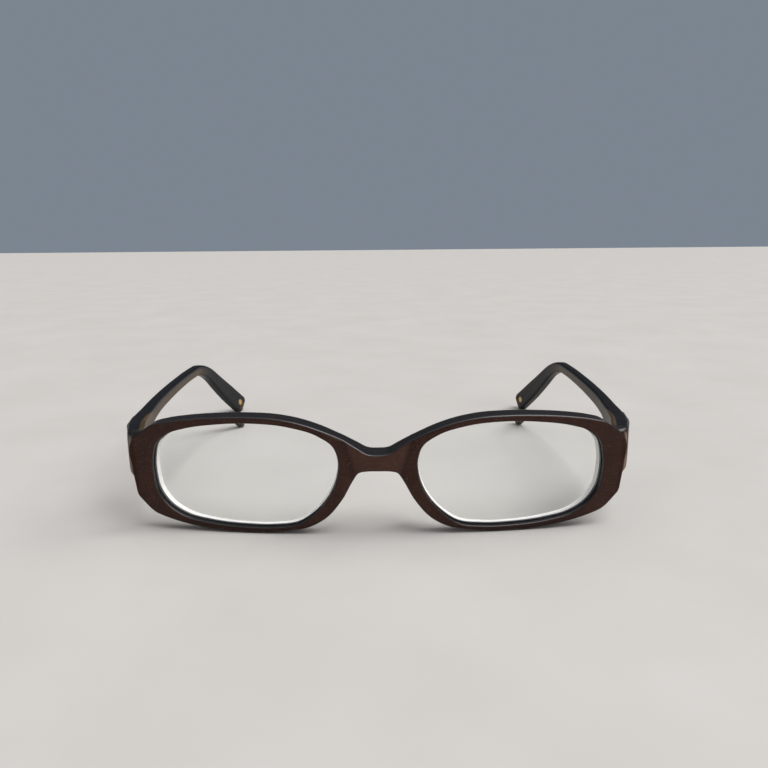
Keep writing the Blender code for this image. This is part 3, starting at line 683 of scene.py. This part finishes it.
def build_pad(place):
    """A pad like half an egg, that flares where it joins the rim."""
    angles = np.linspace(0, 2 * math.pi, 48, endpoint=False)
    cos, sin = math.cos(PAD_TILT), math.sin(PAD_TILT)
    rings = []
    for height in np.linspace(0, 1, 18) ** 0.8:
        w = PAD_BASE + (PAD_TOP - PAD_BASE) * height
        swell = math.sqrt(max(1 - height**PAD_CROWN, 0)) + 0.004
        flare = PAD_FLARE * math.exp(-(w - PAD_BASE) / PAD_FLARE_FADE)
        x = (PAD_HALF[0] + flare) * swell * np.cos(angles)
        y = (PAD_HALF[1] + flare) * swell * np.sin(angles)
        u = PAD_CENTRE[0] + x * cos - y * sin - PAD_LEAN * height
        s = PAD_CENTRE[1] + x * sin + y * cos
        rings.append(place.wrap(u, s, w))
    return lofted("pad_left", rings, 50)


# ------------------------ temples


def temple_stations(place):
    """(middle, direction, thickness, height) from the joint to the tip."""
    run = np.array(TEMPLE_RUN)
    slopes = np.gradient(run[:, 1:], run[:, 0], axis=0)
    ys = np.concatenate([np.arange(run[0, 0], 30, 0.75), np.arange(30, run[-1, 0], 2.0)])
    stations = []
    for y in ys:
        i = min(int(np.searchsorted(run[:, 0], y, side="right")) - 1, len(run) - 2)
        gap = run[i + 1, 0] - run[i, 0]
        t = (y - run[i, 0]) / gap
        x, z, thick, high = cubic(t, run[i, 1:], slopes[i] * gap, run[i + 1, 1:], slopes[i + 1] * gap)
        stations.append([np.array((x, y, z)), thick, high])
    y0, x0, z0, thick0, _ = run[-1]
    arc = BEND_RADIUS * BEND_ANGLE
    for share in np.linspace(0, 1, 34):
        distance = (arc + TIP_RUN) * share
        angle = min(distance / BEND_RADIUS, BEND_ANGLE)
        straight = max(distance - arc, 0)
        y = y0 + BEND_RADIUS * math.sin(angle) + straight * math.cos(BEND_ANGLE)
        z = z0 - BEND_RADIUS * (1 - math.cos(angle)) - straight * math.sin(BEND_ANGLE)
        high = np.interp(share, np.linspace(0, 1, len(TIP_HEIGHTS)), TIP_HEIGHTS)
        thick = thick0 + (TIP_THICK - thick0) * min(1, 2 * share)
        stations.append([np.array((x0 - TIP_INWARD * share**1.5, y, z)), thick, high])
    middles = np.array([station[0] for station in stations])
    ahead = np.gradient(middles, axis=0)
    ahead /= np.linalg.norm(ahead, axis=1, keepdims=True)
    middles[:, 1] += place.joint_y
    return [(m, a, thick, high) for m, a, (_, thick, high) in zip(middles, ahead, stations)]


def temple_axes(along):
    """(outward, up): the directions across a temple that runs this way."""
    outward = np.cross(along, (0, 0, 1))
    outward /= np.linalg.norm(outward)
    return outward, np.cross(outward, along)


def section(middle, along, thick, high, inset=0.0):
    """(points, shares): a rounded rectangle, crowned on its outer side, and the same in half sizes."""
    outward, up = temple_axes(along)
    half_x, half_z = thick / 2 - inset, high / 2 - inset
    corner = max(min(TEMPLE_ROUND, 0.46 * thick) - inset, 0.02)
    flat_x, flat_z = half_x - corner, half_z - corner
    ring = []
    for quarter, (sign_x, sign_z) in enumerate(QUARTERS):
        for k in range(7):
            angle = math.pi / 2 * (quarter + k / 6)
            x = sign_x * flat_x + corner * math.cos(angle)
            z = sign_z * flat_z + corner * math.sin(angle)
            ring.append((x, z))
        for share in (0.5, 0, -0.5):
            if quarter in (0, 2):  # along the top or the bottom
                ring.append((sign_x * flat_x * share, sign_z * half_z))
            else:  # down the inner side or up the outer one
                ring.append((sign_x * half_x, sign_z * flat_z * share))
    points, shares = [], []
    for x, z in ring:
        shares.append((x / half_x, z / half_z))
        if x > half_x - 1e-6:
            x += TEMPLE_CROWN * (1 - (z / half_z) ** 2)
        points.append(middle + outward * x + up * z)
    return points, shares


def build_temple(place):
    """The temple, with a small chamfer at the joint and a rounded tip."""
    stations = temple_stations(place)
    rings = []
    middle, along, thick, high = stations[0]
    for inset, behind in ((0.3, 0), (0.1, 0.08), (0.02, 0.22)):
        rings.append(section(middle + np.array((0, behind, 0)), along, thick, high, inset))
    halves = [thick / 2] * len(rings) + [station[2] / 2 for station in stations[1:]]
    rings += [section(*station) for station in stations[1:]]
    middle, along, thick, high = stations[-1]
    straight = TIP_REACH - TIP_ROUND
    for angle in np.linspace(0, math.pi / 2, 10):
        reach = straight + TIP_ROUND * math.sin(angle)
        drop = TIP_ROUND * (1 - math.cos(angle))
        pinch = max(reach - (TIP_REACH - TEMPLE_ROUND), 0)
        narrow = 1.6 * (TEMPLE_ROUND - math.sqrt(max(TEMPLE_ROUND**2 - pinch**2, 0)))
        halves.append(thick / 2)
        rings.append(section(middle + along * reach, along, thick - narrow, high - 2 * drop))
    obj = lofted("temple_acetate_left", [ring for ring, _ in rings], 40)
    outward, upward = np.concatenate([shares for _, shares in rings]).T
    behind = points_of(obj)[:, 1] - place.joint_y
    from_inner = (outward + 1) * np.repeat(halves, len(rings[0][1]))
    inside = from_inner + upward * np.interp(behind, *LAYER_LEAN)
    set_attribute(obj, "inside", inside / np.interp(behind, *LAYER_THICK))
    shaft = np.interp(behind, OLIVE_FADE, (1, 0))
    tip = np.interp(behind, TIP_BARE, (0, 1))
    set_attribute(obj, "olive", np.maximum(shaft, tip))
    return obj


# ------------------------ hinges and fittings


def barrel_spans():
    """(low, high) of the five barrels along the hinge axis."""
    pitch = BARREL_HEIGHT + BARREL_GAP
    low = -2.5 * BARREL_HEIGHT - 2 * BARREL_GAP
    return [(low + i * pitch, low + i * pitch + BARREL_HEIGHT) for i in range(5)]


def leaf_matrix(place):
    return Matrix.Translation(place.axis) @ Matrix.Rotation(LEAF_TURN, 4, "Z")


def leaf_depth(place):
    """Distance from the hinge axis out to the temple's inner face, in the leaf's frame."""
    y, x, _, thick, _ = TEMPLE_RUN[1]
    inner = np.array((x - thick / 2, y + place.joint_y)) - place.axis[:2]
    return inner[0] * math.cos(LEAF_TURN) + inner[1] * math.sin(LEAF_TURN)


def add_barrels(leaf, spans, neck_low, neck_high, matrix):
    """Joins barrels to a leaf by their necks, and bores them."""
    inner = BARREL_RADIUS - LEAF_EDGE
    for low, high in spans:
        profile = [
            (inner, low), (BARREL_RADIUS, low + LEAF_EDGE),
            (BARREL_RADIUS, high - LEAF_EDGE), (inner, high),
        ]
        neck = rounded_box("neck", (*neck_low, low), (*neck_high, high), 0.1, 0.05, matrix)
        boolean(leaf, neck, "UNION")
        boolean(leaf, turned("barrel", profile, matrix), "UNION")
    bore = turned("bore", [(BORE_RADIUS, -5), (BORE_RADIUS, 5)], matrix)
    boolean(leaf, bore)
    reshade(leaf, 30)
    return leaf


def build_front_leaf(place):
    """The leaf sunk in the end piece, with the outer barrels and the middle one."""
    matrix = Matrix.Translation(place.axis)
    back = -BARREL_RADIUS - FRONT_LEAF_BEHIND
    low = (back - LEAF_THICK, FRONT_LEAF_RUN[0], -LEAF_HALF_HEIGHT)
    high = (back, FRONT_LEAF_RUN[1], LEAF_HALF_HEIGHT)
    leaf = rounded_box("front_leaf_left", low, high, 0.6, LEAF_EDGE, matrix @ SWAP_XY)
    neck_low = (-NECK_WIDTH - 0.05, back - LEAF_THICK / 2)
    return add_barrels(leaf, barrel_spans()[0::2], neck_low, (NECK_WIDTH, 0.0), matrix)


def build_temple_leaf(place):
    """The leaf let into the temple, with an arm out to each of its two barrels."""
    matrix = leaf_matrix(place)
    inner = leaf_depth(place) - LEAF_PROUD
    outer = inner + LEAF_THICK
    low, high = (inner, LEAF_RUN[0], -LEAF_HALF_HEIGHT), (outer, LEAF_RUN[1], LEAF_HALF_HEIGHT)
    leaf = rounded_box("temple_leaf_left", low, high, 0.9, LEAF_EDGE, matrix)
    spans = barrel_spans()[1::2]
    for low, high in spans:
        arm = rounded_box("arm", (inner, 0, low), (outer, 1.6, high), 0.1, 0.05, matrix)
        boolean(leaf, arm, "UNION")
    neck_high = (inner + LEAF_THICK / 2, NECK_WIDTH)
    return add_barrels(leaf, spans, (0.0, -NECK_WIDTH), neck_high, matrix)


def domed(radius, height, base, angles):
    """(radius, height) down a low dome from its top."""
    return [(radius * math.cos(a), base + height * math.sin(a)) for a in angles]


def build_rivets(place):
    """Two rivets through the leaf, with low domed heads on the inner side."""
    inner = leaf_depth(place) - LEAF_PROUD
    shank, length = RIVET_SHANK
    profile = domed(RIVET_HEAD, 0.27, 0.08, np.linspace(1.5, 0.15, 8))
    profile += [(RIVET_HEAD, 0.06), (RIVET_HEAD - 0.05, 0.02), (shank, 0), (shank, -length)]
    built = []
    for name, y in RIVETS.items():
        spot = Matrix.Translation((inner, y, 0)) @ Matrix.Rotation(-math.pi / 2, 4, "Y")
        built.append(turned(f"rivet_{name}_left", profile, leaf_matrix(place) @ spot))
    return built


def build_screw(place):
    """The hinge screw: a slotted cheese head on a plain pin."""
    top = barrel_spans()[-1][1] + 0.05
    foot = barrel_spans()[0][0] - 0.25
    profile = [
        (0.3, top + 0.55), (0.75, top + 0.52), (0.95, top + 0.44), (SCREW_HEAD, top + 0.3),
        (SCREW_HEAD, top + 0.06), (1.0, top), (SCREW_RADIUS, top), (SCREW_RADIUS, foot + 0.2),
        (0.55, foot + 0.05), (0.4, foot),
    ]
    matrix = Matrix.Translation(place.axis)
    screw = turned("screw_left", profile, matrix)
    turn = matrix @ Matrix.Rotation(0.6, 4, "Z")
    slot = rounded_box("slot", (-2, -0.17, top + 0.27), (2, 0.17, top + 2), 0.04, 0.02, turn)
    boolean(screw, slot)
    reshade(screw, 30)
    return screw


def plaque_matrix(place):
    """Set in the temple's outer side, and turned to follow it."""
    _, x, _, thick, _ = TEMPLE_RUN[3]
    middle = (x + thick / 2, PLAQUE_BEHIND + place.joint_y, PLAQUE_HEIGHT)
    return Matrix.Translation(middle) @ Matrix.Rotation(PLAQUE_TURN, 4, "Z")


def build_plaque(place):
    """The raised plate on the temple's outer side."""
    low = (-PLAQUE_DEEP, -PLAQUE_HALF[0], -PLAQUE_HALF[1])
    high = (PLAQUE_PROUD, *PLAQUE_HALF)
    return rounded_box("plaque_left", low, high, 1.1, 0.4, plaque_matrix(place))


def build_stud(place):
    """A small bright stud at the front end of the plate."""
    y, z = STUD_PLACE
    spot = Matrix.Translation((PLAQUE_PROUD - 0.05, y - PLAQUE_HALF[0], z))
    spot = plaque_matrix(place) @ spot @ Matrix.Rotation(math.pi / 2, 4, "Y")
    profile = domed(STUD_RADIUS, 0.2, 0.05, np.linspace(1.5, 0, 7)) + [(STUD_RADIUS, -0.3)]
    return turned("stud_left", profile, spot, 28)


def build_wire(place):
    """The core wire, round and straight-cut, down the middle of the temple."""
    angles = np.linspace(0, 2 * math.pi, 12, endpoint=False)
    rings = []
    for middle, along, *_ in temple_stations(place):
        if WIRE_RUN[0] < middle[1] - place.joint_y < WIRE_RUN[1]:
            outward, up = temple_axes(along)
            ring = np.outer(np.cos(angles), outward) + np.outer(np.sin(angles), up)
            rings.append(middle + ring * WIRE_RADIUS)
    return lofted("wire_left", rings, 40)


def build_inlay(place):
    """The metal disc in the inner face near the tip's end."""
    middle, along, thick, _ = temple_stations(place)[-1]
    outward, up = temple_axes(along)
    spot = middle - along * INLAY_FROM_END - outward * (thick / 2)
    turn = Matrix((along, up, -outward)).transposed().to_4x4()
    profile = [
        (0.25, 0.06), (0.8, 0.05), (0.88, 0.0), (0.98, 0.0),
        (1.06, 0.08), (1.22, 0.1), (1.3, 0.04), (1.3, -0.5),
    ]
    return turned("inlay_left", profile, Matrix.Translation(spot) @ turn)


# ------------------------ materials


class Nodes:
    """A short way to write the nodes of a material or a world."""

    def __init__(self, owner, shader="Principled BSDF", space="Object"):
        owner.use_nodes = True
        self.owner = owner
        self.tree = owner.node_tree
        self.shader = self.tree.nodes[shader]
        self.coords = self.new("TexCoord").outputs[space]

    def new(self, kind, **inputs):
        node = self.tree.nodes.new("ShaderNode" + kind)
        for key, value in inputs.items():
            self.put(node.inputs[key.replace("_", " ")], value)
        return node

    def put(self, socket, value):
        if isinstance(value, bpy.types.NodeSocket):
            self.tree.links.new(value, socket)
        else:
            socket.default_value = value

    def stretched(self, scale):
        """Object coordinates times a scale for each axis: a thousand makes them mm."""
        mapping = self.new("Mapping", Vector=self.coords)
        mapping.inputs["Scale"].default_value = scale
        return mapping.outputs["Vector"]

    def noise(self, scale, detail=3.0, rough=0.55, stretch=EVEN):
        texture = self.new(
            "TexNoise", Vector=self.stretched(stretch), Scale=scale, Detail=detail, Roughness=rough
        )
        return texture.outputs["Fac"]

    def attribute(self, name):
        node = self.new("Attribute")
        node.attribute_name = name
        return node.outputs["Fac"]

    def ramp(self, value, stops):
        node = self.new("ValToRGB", Fac=value)
        elements = node.color_ramp.elements
        while len(elements) < len(stops):
            elements.new(0.5)
        for element, (position, colour) in zip(elements, stops):
            element.position = position
            element.color = (*colour, 1)
        return node.outputs["Color"]

    def spread(self, value, low, high, to_low=0.0, to_high=1.0):
        """The value's range from low to high, spread over another range."""
        ends = {"From_Min": low, "From_Max": high, "To_Min": to_low, "To_Max": to_high}
        return self.new("MapRange", Value=value, **ends).outputs["Result"]

    def mix(self, factor, a, b):
        node = self.new("Mix")
        node.data_type = "RGBA"
        self.put(node.inputs[0], factor)
        for socket, value in ((node.inputs[6], a), (node.inputs[7], b)):
            self.put(socket, (*value, 1) if isinstance(value, tuple) else value)
        return node.outputs[2]

    def maths(self, operation, a, b, kind="Math"):
        node = self.new(kind)
        node.operation = operation
        self.put(node.inputs[0], a)
        self.put(node.inputs[1], b)
        return node

    def plus(self, a, b):
        return self.maths("ADD", a, b).outputs[0]

    def times(self, a, b):
        return self.maths("MULTIPLY", a, b).outputs[0]

    def bump(self, height, strength):
        node = self.new("Bump", Height=height, Strength=strength, Distance=BUMP_DEPTH)
        return node.outputs["Normal"]

    def blend(self, factor, a, b):
        node = self.new("MixShader", Fac=factor)
        self.put(node.inputs[1], a)
        self.put(node.inputs[2], b)
        return node.outputs[0]

    def finish(self, **inputs):
        for key, value in inputs.items():
            if isinstance(value, tuple):
                value = (*value, 1)
            self.put(self.shader.inputs[key.replace("_", " ")], value)
        return self.owner


def new_material(name):
    return Nodes(bpy.data.materials.new(name))


def front_material():
    """Brown pearl acetate over black, the layer chosen by the depth below the face, with painted
    highlight and shade.
    """
    n = new_material("front_acetate")
    depth = n.attribute("depth")
    cloud = n.noise(0.16, 4.0)
    flake_cells = n.new("TexVoronoi", Vector=n.stretched(EVEN), Scale=4.5)
    flake = n.spread(flake_cells.outputs["Color"], 0.8, 1.0)
    brown = n.ramp(cloud, [(0.25, (0.026, 0.0105, 0.0075)), (0.75, (0.044, 0.019, 0.0135))])
    # Painted highlight: the bridge panel lighter, as if lit.
    brown = n.mix(n.times(n.attribute("panel"), 0.3), brown, (0.11, 0.052, 0.038))
    # Painted shade: darker along the creases and the lower rim, as if the light fell off there.
    brown = n.mix(n.attribute("shade"), brown, (0.012, 0.005, 0.004))
    brown = n.mix(n.times(flake, 0.45), brown, (0.2, 0.13, 0.105))
    black = n.ramp(n.noise(0.5), [(0.3, (0.004, 0.0035, 0.0035)), (0.7, (0.009, 0.008, 0.0085))])
    seam = n.times(n.spread(depth, 2.0, 2.1), n.spread(depth, 2.6, 2.5))
    seam = n.times(seam, n.attribute("side"))
    under_face = n.spread(depth, 0.05, 0.12)
    colour = n.mix(under_face, brown, black)
    colour = n.mix(seam, colour, (0.17, 0.1, 0.06))
    scuffs = n.noise(9.0, 5.0, 0.7)
    streak = n.noise(1.0, 4.0, 0.6, (400, 400, 9000))
    rough = n.spread(scuffs, 0.3, 0.7, 0.24, 0.32)
    rough = n.plus(rough, n.spread(streak, 0.45, 0.75, 0.0, 0.06))
    height = n.plus(n.times(scuffs, 0.5), n.times(cloud, 1.5))
    pearl = n.spread(under_face, 0.0, 1.0, 0.35, 0.0)
    shine = n.spread(under_face, 0.0, 1.0, 0.2, 0.65)
    shine = n.times(shine, n.spread(n.attribute("side"), 0.0, 1.0, 1.0, 0.25))
    return n.finish(
        Base_Color=colour, Metallic=pearl, Roughness=rough, IOR=ACETATE_IOR,
        Normal=n.bump(height, 0.12), Specular_IOR_Level=shine,
    )


def temple_material():
    """Black acetate with an olive brown layer on the inner side."""
    n = new_material("temple_acetate")
    inside = n.attribute("inside")
    grain = n.noise(0.3, 4.0, 0.6, (1000, 160, 1000))
    olive = n.ramp(grain, [
        (0.3, (0.05, 0.032, 0.016)), (0.55, (0.075, 0.050, 0.027)), (0.75, (0.11, 0.077, 0.044)),
    ])
    black = n.ramp(n.noise(0.4), [(0.3, (0.004, 0.0045, 0.0055)), (0.7, (0.009, 0.0095, 0.011))])
    inner = n.times(n.spread(inside, 1.1, 0.9), n.attribute("olive"))
    colour = n.mix(inner, black, olive)
    scuffs = n.noise(7.0, 5.0, 0.7, (1000, 300, 1000))
    height = n.plus(scuffs, n.times(grain, 1.2))
    return n.finish(
        Base_Color=colour, Roughness=n.spread(scuffs, 0.3, 0.7, 0.28, 0.42), IOR=ACETATE_IOR,
        Specular_IOR_Level=n.spread(inner, 0.0, 1.0, 0.18, 0.12), Normal=n.bump(height, 0.12),
    )


def pad_material():
    """Black acetate, polished a little by wear."""
    n = new_material("pad_acetate")
    cloud = n.noise(0.5)
    fine = n.noise(12.0, 4.0)
    colour = n.ramp(cloud, [(0.3, (0.010, 0.010, 0.011)), (0.7, (0.022, 0.020, 0.020))])
    return n.finish(
        Base_Color=colour, Roughness=n.spread(fine, 0.3, 0.7, 0.16, 0.28), IOR=ACETATE_IOR,
        Normal=n.bump(fine, 0.06),
    )


def glass_material():
    """Clear lens with a low-glare coating; its shadow lets light through."""
    n = new_material("lens_glass")
    facing = n.new("LayerWeight", Blend=0.35).outputs["Facing"]
    tint = n.mix(facing, (0.985, 0.995, 0.99), (0.93, 0.97, 0.95))
    smear = n.spread(n.noise(0.08, 3.0), 0.55, 0.8, 0.0, 0.012)
    n.finish(Base_Color=tint, Roughness=smear, IOR=LENS_IOR, Transmission_Weight=1.0)
    coated = n.new("BsdfRefraction", Color=tint, Roughness=smear, IOR=LENS_IOR)
    clear = n.new("BsdfTransparent", Color=(0.93, 0.95, 0.94, 1))
    in_shadow = n.new("LightPath").outputs["Is Shadow Ray"]
    lens = n.blend(0.7, n.shader.outputs[0], coated.outputs[0])
    surface = n.blend(in_shadow, lens, clear.outputs[0])
    n.put(n.tree.nodes["Material Output"].inputs["Surface"], surface)
    return n.owner


def frosted_material():
    """The ground edge of the lens, with painted shade where it meets the rim and a faint painted glow.
    """
    n = new_material("lens_edge")
    grind = n.noise(6.0, 4.0, 0.6)
    colour = n.ramp(grind, [(0.3, (0.78, 0.75, 0.73)), (0.7, (0.92, 0.9, 0.88))])
    # Painted shadow: the front of the edge goes dark where the rim's groove shades it.
    colour = n.mix(n.spread(n.attribute("behind"), 0.585, 0.66), (0.05, 0.055, 0.065), colour)
    return n.finish(
        # The faint emission is painted light: a glow for the light that the glass carries to its edge.
        Base_Color=colour, Roughness=n.spread(grind, 0.3, 0.7, 0.45, 0.65), IOR=1.5,
        Normal=n.bump(grind, 0.3), Emission_Color=colour, Emission_Strength=0.2,
    )


def metal_material(name, low, high, rough, stretch=(300, 3000, 300), bump=0.15):
    """Metal with fine drawn lines, worn unevenly."""
    n = new_material(name)
    lines = n.noise(1.5, 5.0, 0.65, stretch)
    stain = n.noise(0.7, 3.0)
    shade = n.plus(n.times(lines, 0.5), n.times(stain, 0.5))
    colour = n.ramp(shade, [(0.35, low), (0.65, high)])
    return n.finish(
        Base_Color=colour, Metallic=1.0, Roughness=n.spread(lines, 0.3, 0.7, rough, rough + 0.15),
        Normal=n.bump(lines, bump),
    )


def plaque_material():
    """Black coating, worn through to bright metal along the edges."""
    n = new_material("plaque_metal")
    rounded = n.new("Bevel", Radius=PLAQUE_WEAR).outputs["Normal"]
    true = n.new("NewGeometry").outputs["Normal"]
    flatness = n.maths("DOT_PRODUCT", rounded, true, "VectorMath").outputs["Value"]
    patches = n.noise(2.5, 5.0, 0.7)
    edge = n.spread(flatness, 0.97, 0.88)
    worn = n.times(edge, n.spread(patches, 0.45, 0.6))
    colour = n.mix(worn, (0.014, 0.015, 0.018), (0.55, 0.53, 0.5))
    return n.finish(
        Base_Color=colour, Metallic=n.spread(worn, 0, 1, 0.3, 1.0),
        Roughness=n.spread(patches, 0.3, 0.7, 0.3, 0.42), Normal=n.bump(patches, 0.08),
    )


def floor_material():
    """Pale and matt, with a faint mottle."""
    n = new_material("pale_floor")
    mottle = n.noise(0.02, 4.0)
    colour = n.ramp(mottle, [(0.3, (0.52, 0.50, 0.47)), (0.7, (0.56, 0.54, 0.51))])
    return n.finish(Base_Color=colour, Roughness=0.7)


# ------------------------ stage


def build_floor():
    bm = bmesh.new()
    spots = np.linspace(-FLOOR_REACH, FLOOR_REACH, 9)
    add_grid(bm, [[Vector((x, y, -FLOOR_DROP)) for x in spots] for y in spots])
    floor = add_object("floor", bm)
    floor.data.materials.append(floor_material())
    return floor


def add_sun(name, towards, angle, strength, colour):
    """A sun in this direction, with its angle as wide as a softbox's."""
    light = bpy.data.lights.new(name, "SUN")
    light.angle = math.radians(angle)
    light.energy = strength
    light.color = colour
    obj = bpy.data.objects.new(name, light)
    obj.rotation_euler = (-Vector(towards)).to_track_quat("-Z", "Y").to_euler()
    bpy.context.scene.collection.objects.link(obj)


def build_world():
    """A blue-grey wall to look at, and a dimmer surround that brightens overhead to light by."""
    n = Nodes(bpy.data.worlds.new("studio"), "Background", "Generated")
    up = n.new("SeparateXYZ", Vector=n.coords).outputs["Z"]
    surround = n.ramp(up, [
        (0.0, (0.075, 0.08, 0.09)), (0.62, (0.08, 0.085, 0.1)), (0.85, (0.7, 0.7, 0.72)),
        (1.0, (1.0, 1.0, 1.0)),
    ])
    seen = n.new("LightPath").outputs["Is Camera Ray"]
    bpy.context.scene.world = n.finish(Color=n.mix(seen, surround, (0.2, 0.235, 0.28)))


def light_scene():
    build_world()
    add_sun("overhead", (0.4, -0.24, 0.87), 42, 2.2, (0.97, 0.97, 1.0))
    add_sun("window", (0.7, 0.15, 0.6), 25, 0.7, (1.0, 0.97, 0.93))
    add_sun("left_fill", (-0.7, -0.65, 0.25), 40, 0.25, (1.0, 0.96, 0.92))
    add_sun("right_fill", (0.6, -0.75, 0.3), 40, 0.7, (1.0, 0.95, 0.9))


def add_camera(place):
    data = bpy.data.cameras.new("camera")
    data.sensor_width = CAMERA_SENSOR
    data.lens = CAMERA_LENS
    data.clip_start = 0.01
    camera = bpy.data.objects.new("camera", data)
    x, y, z = CAMERA_PLACE
    spot = Matrix.Translation(Vector((x, y + place.front[1], z)) * MM)
    tilt = Matrix.Rotation(math.pi / 2 - CAMERA_DOWN, 4, "X")
    camera.matrix_world = spot @ tilt @ Matrix.Rotation(CAMERA_ROLL, 4, "Z")
    bpy.context.scene.collection.objects.link(camera)
    bpy.context.scene.camera = camera


# ------------------------ assembly


def settle(obj, body, materials, replaces=()):
    """Gives a piece its materials and its body, and hides the nodes it stands for."""
    for material in materials:
        obj.data.materials.append(material)
    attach(obj, body)
    if replaces:
        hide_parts(*replaces)


def build_both(obj, materials, node=None, moves=False):
    """Settles a left-hand piece and its mirror twin, on the front or on the temples."""
    twin = mirrored(obj, obj.name.replace("_left", "_right"))
    for side, piece in (("left", obj), ("right", twin)):
        body = TEMPLE_BODY[side] if moves else FRONT_BODY
        settle(piece, body, materials, [node.replace("_left", f"_{side}")] if node else ())


def main():
    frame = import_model()
    place = Place(frame["record"], frame["joints"])

    settle(build_front(place), FRONT_BODY, [front_material()], ["front_frame"])
    build_both(build_lens(place), [glass_material(), frosted_material()], "lens_left")
    build_both(build_pad(place), [pad_material()], "nose_pad_left")

    fine = (1500, 1500, 1500)
    hinge = metal_material("hinge_metal", (0.2, 0.175, 0.14), (0.36, 0.32, 0.265), 0.34)
    screw = metal_material("screw_metal", (0.62, 0.62, 0.62), (0.82, 0.82, 0.82), 0.14, fine, 0.05)
    dark = metal_material("rivet_metal", (0.1, 0.09, 0.08), (0.26, 0.24, 0.21), 0.3, fine)
    wire = metal_material("wire_metal", (0.45, 0.44, 0.42), (0.62, 0.6, 0.58), 0.3, (3000, 200, 3000))
    gold = metal_material("inlay_metal", (0.5, 0.34, 0.12), (0.75, 0.55, 0.25), 0.24, fine, 0.08)

    build_both(build_front_leaf(place), [hinge], "front_hinge_leaf_left")
    build_both(build_screw(place), [screw], "hinge_screw_left")
    build_both(build_temple(place), [temple_material()], "temple_left", moves=True)
    build_both(build_temple_leaf(place), [hinge], "temple_hinge_leaf_left", moves=True)
    for rivet in build_rivets(place):
        build_both(rivet, [dark], "temple_" + rivet.name, moves=True)
    build_both(build_plaque(place), [plaque_material()], "temple_plaque_left", moves=True)
    build_both(build_stud(place), [screw], moves=True)
    build_both(build_inlay(place), [gold], "tip_inlay_left", moves=True)
    build_both(build_wire(place), [wire], "core_wire_left", moves=True)

    build_floor()
    light_scene()
    add_camera(place)
    bpy.context.scene.view_settings.view_transform = "Standard"


main()
